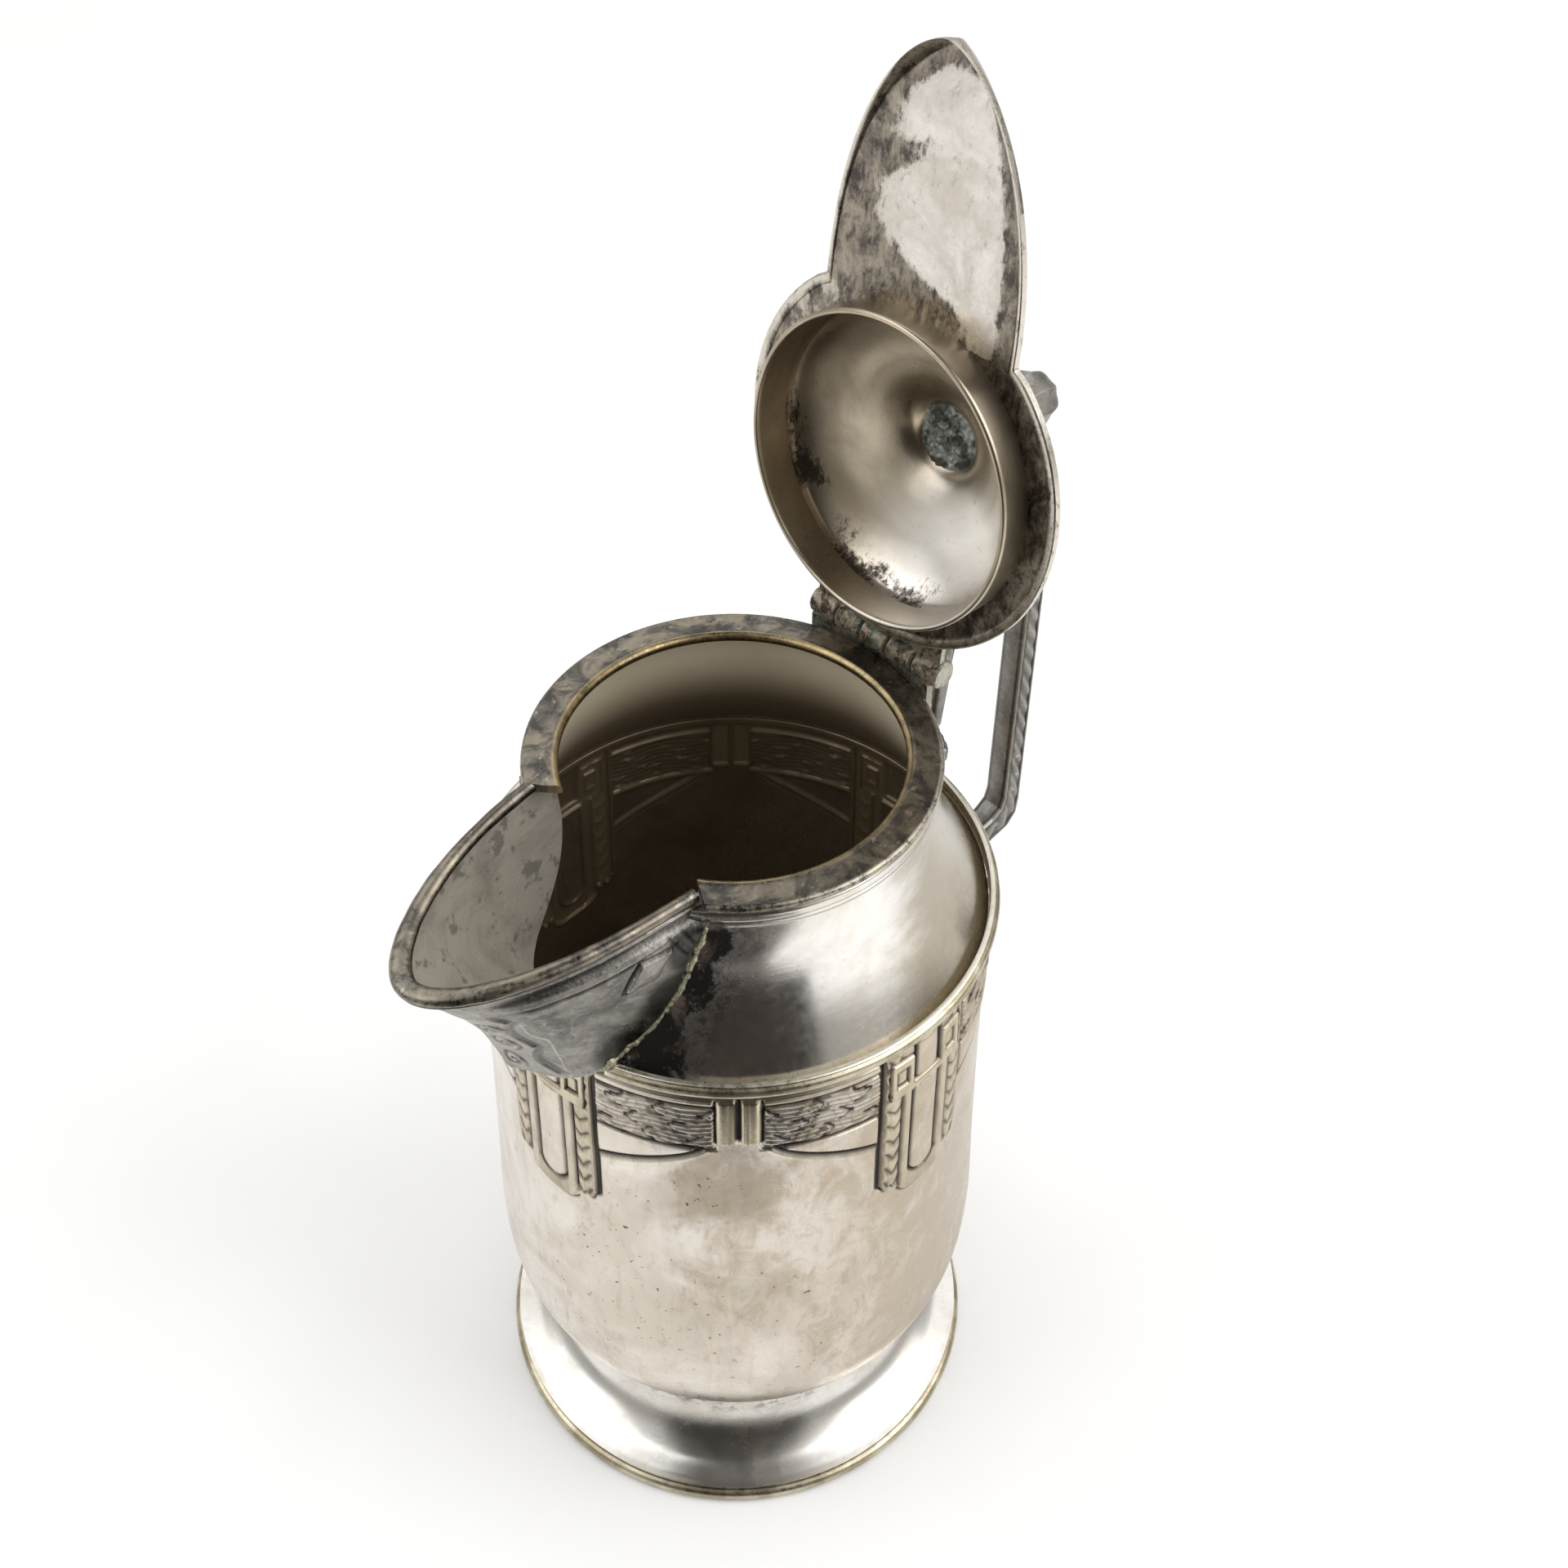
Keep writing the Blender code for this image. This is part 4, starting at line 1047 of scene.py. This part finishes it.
def shoulder_silver():
    """Nearly mirror-bright silver with fine hoop scratches, black tarnish round the spout, a painted dark
    reflection towards the camera's right and painted shade deeper inside.
    """
    s = Surface("shoulder_silver")
    cloud = s.noise(17, 6, 0.6, warp=0.5)
    hoops = s.noise(0.35, 4, 0.6, (40, 40, 1), seed=2)
    fine = s.noise(1.1, 5, 0.7, seed=4)
    tone = s.blend(cloud, 0.4, 0.72, (0.90, 0.88, 0.84), (0.72, 0.66, 0.58))
    tone = s.stain(tone, fine, 0.6, 0.78, 0.4, (0.42, 0.34, 0.30))
    # Darker towards the camera's right: a painted dark reflection broken up by streaky tarnish.
    dull = s.add(s.rightward(15, 28), s.noise(5, 6, 0.7, (3, 3, 1), seed=18), -0.5)
    tone = s.stain(tone, dull, 0.05, 0.8, 0.9, (0.36, 0.315, 0.24))
    close = s.near_any(TARNISH_SPOTS)
    ragged = s.noise(1.3, 7, 0.75, (1, 1, 2.5), warp=0.4, seed=8)
    black = s.band(s.add(close, s.product(s.add(ragged, fine), 1.3)), 1.55, 2.15)
    tone = s.mix(s.product(black, 0.98), tone, (0.022, 0.02, 0.018))
    haze = s.noise(6, 5, 0.6, warp=0.5, seed=15)
    tone = s.stain(tone, haze, 0.48, 0.62, s.product(s.add(close, 0.12), 0.8), (0.30, 0.23, 0.19))
    within = s.blend(cloud, 0.4, 0.7, (1.0, 0.91, 0.70), (0.88, 0.78, 0.56))
    # The inside darkens further down: painted shade.
    within = s.mix(s.band(s.height(), 119.5, 106.0), within, (0.26, 0.20, 0.135))
    inward = s.inward()
    rough = s.band(s.add(cloud, s.product(fine, 0.5)), 0.6, 1.0, 0.17, 0.30)
    rough = s.add(rough, s.product(black, 0.3), s.product(inward, 0.35))
    return s.finish(s.mix(inward, tone, within), rough, hoops, 0.006, s.band(inward, 0, 1, 1.0, 0.1))


def foot_silver():
    """Bright silver with hoop polish lines and a pitted collar under the cup."""
    s = Surface("foot_silver")
    cloud = s.noise(15, 6, 0.6, warp=0.5, seed=6)
    hoops = s.noise(0.3, 4, 0.6, (60, 60, 1), seed=2)
    fine = s.noise(1.5, 5, 0.7, (1, 1, 0.5), seed=4)
    blotch = s.noise(2.4, 6, 0.7, (1, 1, 0.6), warp=0.4, seed=14)
    collar = s.band(s.height(), 9.5, 12.5)
    pits = s.product(s.band(s.add(fine, blotch), 0.99, 1.14), s.band(collar, 0.0, 1.0, 0.10, 0.85))
    tone = s.blend(cloud, 0.42, 0.7, (0.82, 0.80, 0.765), (0.66, 0.62, 0.56))
    tone = s.mix(pits, tone, (0.26, 0.235, 0.205))
    rough = s.add(s.band(cloud, 0.35, 0.7, 0.17, 0.29), s.product(pits, 0.25))
    return s.finish(tone, rough, hoops, 0.006)


def brass_edge(name):
    """Plate worn through to brass, dull in the hollows, with a painted highlight on its ridges."""
    s = Surface(name)
    cloud = s.noise(6, 5, 0.6, warp=0.3, seed=1)
    fine = s.noise(0.9, 5, 0.7, seed=7)
    tone = s.blend(cloud, 0.38, 0.62, (0.60, 0.54, 0.40), (0.33, 0.28, 0.18))
    # Lighter on sharp ridges: painted highlight.
    tone = s.stain(tone, s.pointiness(), 0.505, 0.56, 0.7, (0.86, 0.82, 0.72))
    tone = s.stain(tone, fine, 0.6, 0.74, 0.3, (0.20, 0.165, 0.11))
    return s.finish(tone, s.band(fine, 0.3, 0.7, 0.24, 0.42), fine, 0.007)


def rim_silver(name, rubbed_from, rubbed_to):
    """Mottled rim: blue-black tarnish, pale patches, a golden inner edge and a rubbed outer one."""
    s = Surface(name)
    blotch = s.noise(4.5, 6, 0.65, warp=0.8, seed=2)
    fine = s.noise(0.8, 5, 0.7, seed=8)
    radius = s.radius()
    tone = s.blend(blotch, 0.38, 0.62, (0.085, 0.082, 0.077), (0.30, 0.262, 0.205))
    tone = s.stain(tone, s.noise(9, 4, 0.6, seed=5), 0.5, 0.65, 0.6, (0.17, 0.145, 0.12))
    tone = s.stain(tone, s.noise(1.6, 6, 0.7, seed=21), 0.58, 0.68, 0.7, (0.46, 0.42, 0.345))
    tone = s.stain(tone, radius, 22.3, 21.6, s.band(blotch, 0.3, 0.6, 0.3, 1.0), (0.50, 0.39, 0.21))
    tone = s.stain(tone, radius, rubbed_from, rubbed_to, s.band(fine, 0.35, 0.6), (0.48, 0.435, 0.35))
    return s.finish(tone, s.band(fine, 0.3, 0.7, 0.24, 0.46), fine, 0.03)


def pewter_inside(s, cloud, fine):
    """The bare metal inside the spout."""
    tone = s.blend(cloud, 0.38, 0.66, (0.47, 0.435, 0.37), (0.31, 0.28, 0.235))
    tone = s.stain(tone, s.noise(3.0, 5, 0.6, seed=11), 0.58, 0.66, 0.7, (0.17, 0.15, 0.13))
    return s.stain(tone, fine, 0.6, 0.7, 0.6, (0.22, 0.19, 0.16))


def pewter(name, tint=1.0):
    """Oxidised cast metal: dark grey, brighter on its edges and reliefs from rubbed wear and painted
    highlights, and dark in its hollows from dirt and painted shade.
    """
    def tinted(*colour):
        return tuple(tint * part for part in colour)

    s = Surface(name)
    cloud = s.noise(9, 6, 0.6, warp=0.4, seed=3)
    fine = s.noise(0.9, 6, 0.72, seed=6)
    patch = s.noise(2.6, 6, 0.7, (1, 1, 0.7), warp=0.6, seed=17)
    tone = s.blend(cloud, 0.35, 0.65, tinted(0.17, 0.161, 0.147), tinted(0.42, 0.397, 0.358))
    tone = s.stain(tone, fine, 0.52, 0.7, 0.6, (0.10, 0.095, 0.09))
    tone = s.stain(tone, patch, 0.5, 0.66, 0.55, tinted(0.50, 0.49, 0.475))
    # Lighter on raised relief and sharp edges: rubbed wear and painted highlights.
    tone = s.stain(tone, s.attribute("relief"), 0.15, 0.4, 0.45, tinted(0.50, 0.47, 0.42))
    tone = s.stain(tone, s.pointiness(), 0.505, 0.56, 0.5, (0.66, 0.62, 0.54))
    # Near black in the hollows: dirt and painted shade.
    tone = s.mix(s.product(s.attribute("dirt"), 0.85), tone, (0.04, 0.038, 0.036))
    seam = s.add(s.near_any(SEAM_SPOTS), cloud)
    tone = s.stain(tone, seam, 0.7, 1.3, 0.85, (0.035, 0.034, 0.033))
    within = s.attribute("within")
    tone = s.mix(within, tone, pewter_inside(s, cloud, fine))
    rough = s.band(s.add(cloud, s.product(fine, 0.7)), 0.6, 1.1, 0.24, 0.44)
    rough = s.add(rough, s.product(within, 0.12))
    bump = s.add(fine, s.product(patch, 1.5))
    return s.finish(tone, rough, bump, 0.08, s.band(within, 0, 1, 1.0, 0.3))


def lid_silver():
    """The lid plate: rubbed bright in the middle of the flap, black and brown at its borders, with a painted
    highlight along its edge.
    """
    s = Surface("lid_silver")
    cloud = s.noise(8, 7, 0.66, warp=0.7, seed=4)
    fine = s.noise(1.1, 6, 0.75, seed=6)
    ragged = s.noise(1.5, 8, 0.78, (1, 1, 2.0), warp=0.3, seed=14)
    worn = s.add(s.attribute("shine"), s.product(s.add(cloud, ragged), 1.1))
    dark = s.blend(ragged, 0.38, 0.62, (0.075, 0.066, 0.06), (0.31, 0.27, 0.215))
    dark = s.stain(dark, cloud, 0.52, 0.66, 0.6, (0.40, 0.35, 0.28))
    bright = s.blend(cloud, 0.35, 0.65, (0.78, 0.74, 0.69), (0.60, 0.55, 0.49))
    bright = s.stain(bright, ragged, 0.55, 0.68, 0.75, (0.26, 0.22, 0.185))
    tone = s.blend(worn, 1.42, 1.72, dark, bright)
    # Lighter along the plate's edge: painted highlight.
    tone = s.stain(tone, ragged, 0.34, 0.5, s.attribute("edge"), (0.66, 0.61, 0.53))
    return s.finish(tone, s.band(fine, 0.3, 0.7, 0.2, 0.38), fine, 0.03)


def dome_silver():
    """Spun silver: a painted highlight low on one side, warm above, dark drips where it was left wet."""
    s = Surface("dome_silver")
    cloud = s.noise(14, 6, 0.6, warp=0.4, seed=5)
    fine = s.noise(0.9, 6, 0.75, seed=3)
    ragged = s.noise(0.8, 8, 0.85, (1, 1, 3.0), warp=0.3, seed=9)
    warm = s.blend(cloud, 0.38, 0.66, (0.54, 0.47, 0.36), (0.40, 0.335, 0.25))
    # A pale patch low on the dome's inside: painted highlight.
    tone = s.mix(s.near(*DOME_PAINTED_HIGHLIGHT, lid=True), warm, (0.93, 0.89, 0.83))
    tone = s.mix(s.attribute("outside"), tone, (0.76, 0.72, 0.66))
    tone = s.stain(tone, fine, 0.55, 0.72, 0.35, (0.28, 0.235, 0.18))
    drips = s.band(s.add(s.attribute("stain"), s.product(ragged, 2.0)), 1.52, 1.88)
    tone = s.mix(s.product(drips, 0.93), tone, (0.055, 0.04, 0.03))
    rough = s.add(s.band(cloud, 0.35, 0.7, 0.27, 0.40), s.product(drips, 0.3))
    return s.finish(tone, rough, fine, 0.015)


def crusted(name, verdigris=0.0):
    """Hinge metal under dried polish: brown crust, yellow grains, a little verdigris, and a painted highlight
    on its edges.
    """
    s = Surface(name)
    blotch = s.noise(1.6, 6, 0.7, warp=0.6, seed=2)
    fine = s.noise(0.5, 5, 0.7, seed=5)
    tone = s.blend(blotch, 0.42, 0.56, (0.07, 0.055, 0.04), (0.36, 0.31, 0.24))
    tone = s.stain(tone, fine, 0.55, 0.68, 0.7, (0.40, 0.32, 0.16))
    tone = s.stain(tone, s.noise(2.6, 4, 0.6, seed=12), 0.52, 0.66, verdigris, (0.22, 0.29, 0.24))
    # Lighter on sharp edges: painted highlight.
    tone = s.stain(tone, s.pointiness(), 0.51, 0.57, 0.6, (0.66, 0.63, 0.56))
    return s.finish(tone, s.band(fine, 0.3, 0.7, 0.35, 0.65), fine, 0.08, metallic=0.85)


def solder_metal():
    s = Surface("solder")
    fine = s.noise(0.5, 6, 0.75, seed=2)
    tone = s.blend(fine, 0.4, 0.62, (0.68, 0.65, 0.48), (0.30, 0.28, 0.18))
    return s.finish(tone, 0.42, fine, 0.10, metallic=0.9)


def rivet_metal():
    s = Surface("rivet_solder")
    fine = s.noise(0.7, 6, 0.75, seed=2)
    tone = s.blend(s.noise(2.2, 5, 0.6, seed=4), 0.42, 0.6, (0.07, 0.075, 0.06), (0.36, 0.38, 0.36))
    return s.finish(tone, s.band(fine, 0.3, 0.7, 0.3, 0.6), fine, 0.10, metallic=0.8)


def paper():
    s = Surface("paper")
    tone = s.blend(s.noise(60, 3, 0.5, seed=1), 0.3, 0.7, (0.89, 0.89, 0.888), (0.92, 0.92, 0.92))
    return s.finish(tone, 0.8, s.noise(1.2, 6, 0.7, seed=2), 0.03, metallic=0.0)


# --- pieces ---------------------------------------------------------------------------------
def make_jug():
    grey = pewter("spout_pewter")
    dark = pewter("handle_pewter", 0.62)
    rim = rim_silver("rim_silver", 25.2, 25.75)
    piece("body_cup", cup_solid(), cup_silver(), "jug")
    piece("shoulder_dome", shoulder_solid(), shoulder_silver(), "jug", wall=SHEET)
    piece("shoulder_bead", ring_solid(bead_section(), BEAD_GAP), brass_edge("bead_brass"), "jug")
    piece("rim_ring", ring_solid(rim_section(), RIM_GAP, RIM_SLANT, RIM_SKEW), rim, "jug")
    piece("foot_flare", foot_solid(), foot_silver(), "jug")
    piece("foot_edge_wire", ring_solid(foot_wire_section()), brass_edge("foot_brass"), "jug")
    piece("spout", spout_solid(), grey, "jug")
    piece("spout_lip_wire", lip_wire_solid(), rim_silver("lip_silver", 20.0, 85.0), "jug")
    piece("handle", handle_solid(), dark, "jug")
    piece("handle_bud", bud_solid(), dark, "jug")
    piece("handle_lower_leaf", lower_leaf_solid(), dark, "jug")
    piece("hinge_body_leaf", body_leaf_solid(), crusted("hinge_body_crust", 0.8), "jug")
    piece("hinge_pin", pin_solid(), crusted("pin_metal"), "jug")
    piece("spout_solder", solder_solid(), solder_metal(), "jug", filler_for="spout", sharp=180)


def make_lid():
    silver = dome_silver()
    piece("lid_plate", plate_solid(), lid_silver(), "lid")
    piece("lid_bezel", ring_solid(bezel_section()), silver, "lid", sharp=60)
    piece("lid_dome", dome_solid(), silver, "lid")
    piece("knob_rivet", rivet_solid(), rivet_metal(), "lid")
    piece("lid_knob", knob_solid(), pewter("knob_pewter", 0.75), "lid", sharp=24)
    piece("hinge_lid_leaf", lid_leaf_solid(), crusted("hinge_lid_crust", 0.3), "lid")


# --- stage, light and camera ----------------------------------------------------------------
def view_axes():
    """The camera's right, up and backward directions, before its roll."""
    flat = math.cos(CAMERA_ELEVATION)
    right = Vector((math.cos(CAMERA_AZIMUTH), math.sin(CAMERA_AZIMUTH), 0.0))
    back = Vector((math.sin(CAMERA_AZIMUTH) * flat, -math.cos(CAMERA_AZIMUTH) * flat,
                   math.sin(CAMERA_ELEVATION)))
    return right, back.cross(right), back


def turned_to(spot, facing):
    """A placing in metres, at a spot in millimetres, with +Z along the facing."""
    return Matrix.Translation(spot * MM) @ facing.to_track_quat("Z", "Y").to_matrix().to_4x4()


def make_camera():
    right, up, back = view_axes()
    data = bpy.data.cameras.new("camera")
    data.lens = LENS
    data.sensor_width = 36.0
    data.clip_start = 0.01
    camera = add_object("camera", data)
    aim = Vector((AXIS_X / MM, 0.0, AIM_HEIGHT)) + right * AIM_RIGHT
    rolled = Matrix((right, up, back)).transposed().to_4x4() @ Matrix.Rotation(CAMERA_ROLL, 4, "Z")
    camera.matrix_world = Matrix.Translation((aim + back * CAMERA_DISTANCE) * MM) @ rolled
    bpy.context.scene.camera = camera


def flat_panel(name, width, height, material):
    """A rectangle in the XY plane, in metres."""
    x, y = width / 2, height / 2
    mesh = bpy.data.meshes.new(name)
    mesh.from_pydata([(-x, -y, 0), (x, -y, 0), (x, y, 0), (-x, y, 0)], [], [(0, 1, 2, 3)])
    mesh.materials.append(material)
    panel = add_object(name, mesh)
    return panel


def glow(name, strength, colour):
    material = bpy.data.materials.new(name)
    material.use_nodes = True
    tree = material.node_tree
    light = tree.nodes.new("ShaderNodeEmission")
    light.inputs["Color"].default_value = (*colour, 1.0)
    light.inputs["Strength"].default_value = strength
    tree.links.new(light.outputs[0], tree.nodes["Material Output"].inputs[0])
    return material


def card(name, spot, size, strength, colour, facing=None):
    """A panel seen only in reflections, in millimetres; it faces the jug unless told otherwise."""
    thing = flat_panel(name, size[0] * MM, size[1] * MM, glow(name, strength, colour))
    thing.matrix_world = turned_to(spot, facing or JUG_MIDDLE - spot)
    thing.visible_camera = thing.visible_diffuse = thing.visible_shadow = False
    return thing


def make_world():
    """A room that is dim near the horizon and bright above."""
    world = bpy.data.worlds.new("studio")
    world.use_nodes = True
    tree = world.node_tree
    where = tree.nodes.new("ShaderNodeTexCoord")
    split = tree.nodes.new("ShaderNodeSeparateXYZ")
    shade = tree.nodes.new("ShaderNodeValToRGB")
    dim, bright = shade.color_ramp.elements
    dim.color = (0.33, 0.32, 0.30, 1.0)
    bright.color = (0.67, 0.67, 0.665, 1.0)
    bright.position = 0.75
    tree.links.new(where.outputs["Generated"], split.inputs[0])
    tree.links.new(split.outputs["Z"], shade.inputs["Fac"])
    tree.links.new(shade.outputs["Color"], tree.nodes["Background"].inputs["Color"])
    bpy.context.scene.world = world


def area_lamp(name, spot, size, power):
    """A square lamp aimed at the jug; spot and size are in millimetres."""
    data = bpy.data.lights.new(name, "AREA")
    data.size = size * MM
    data.energy = power
    add_object(name, data).matrix_world = turned_to(spot, spot - LAMP_AIM)


def make_lights():
    """Soft light from all round, a big window to the right and the dark room behind the camera."""
    right, _, back = view_axes()
    front = Vector((back.x, back.y, 0.0)).normalized()
    up = Vector((0.0, 0.0, 1.0))
    make_world()
    area_lamp("window", right * 700 + front * 150 + up * 700, 700, 4.1)
    area_lamp("fill", right * -650 + front * 100 + up * 650, 700, 1.6)
    sun = bpy.data.lights.new("skylight", "SUN")
    sun.energy = 1.02
    sun.angle = math.radians(100)
    add_object("skylight", sun).rotation_euler = (up - front * 0.3).to_track_quat("Z", "Y").to_euler()
    card("dark_room", front * 300 + up * 300, (400, 590), 0.035, (1.0, 0.85, 0.7), -front)
    table = card("dark_table", front * 200 + up, (150, 190), 0.05, (1.0, 0.85, 0.75), up)
    table.rotation_euler.z = CAMERA_AZIMUTH
    card("dark_ceiling", front * 40 + up * 560, (280, 520), 0.06, (1.0, 0.9, 0.8))
    card("dim_side", Vector((430, -80, 60)), (300, 170), 0.22, (1.0, 0.92, 0.8))


make_jug()
make_lid()
flat_panel("floor", FLOOR_SIZE, FLOOR_SIZE, paper())
make_lights()
make_camera()
bpy.context.scene.view_settings.view_transform = "Standard"
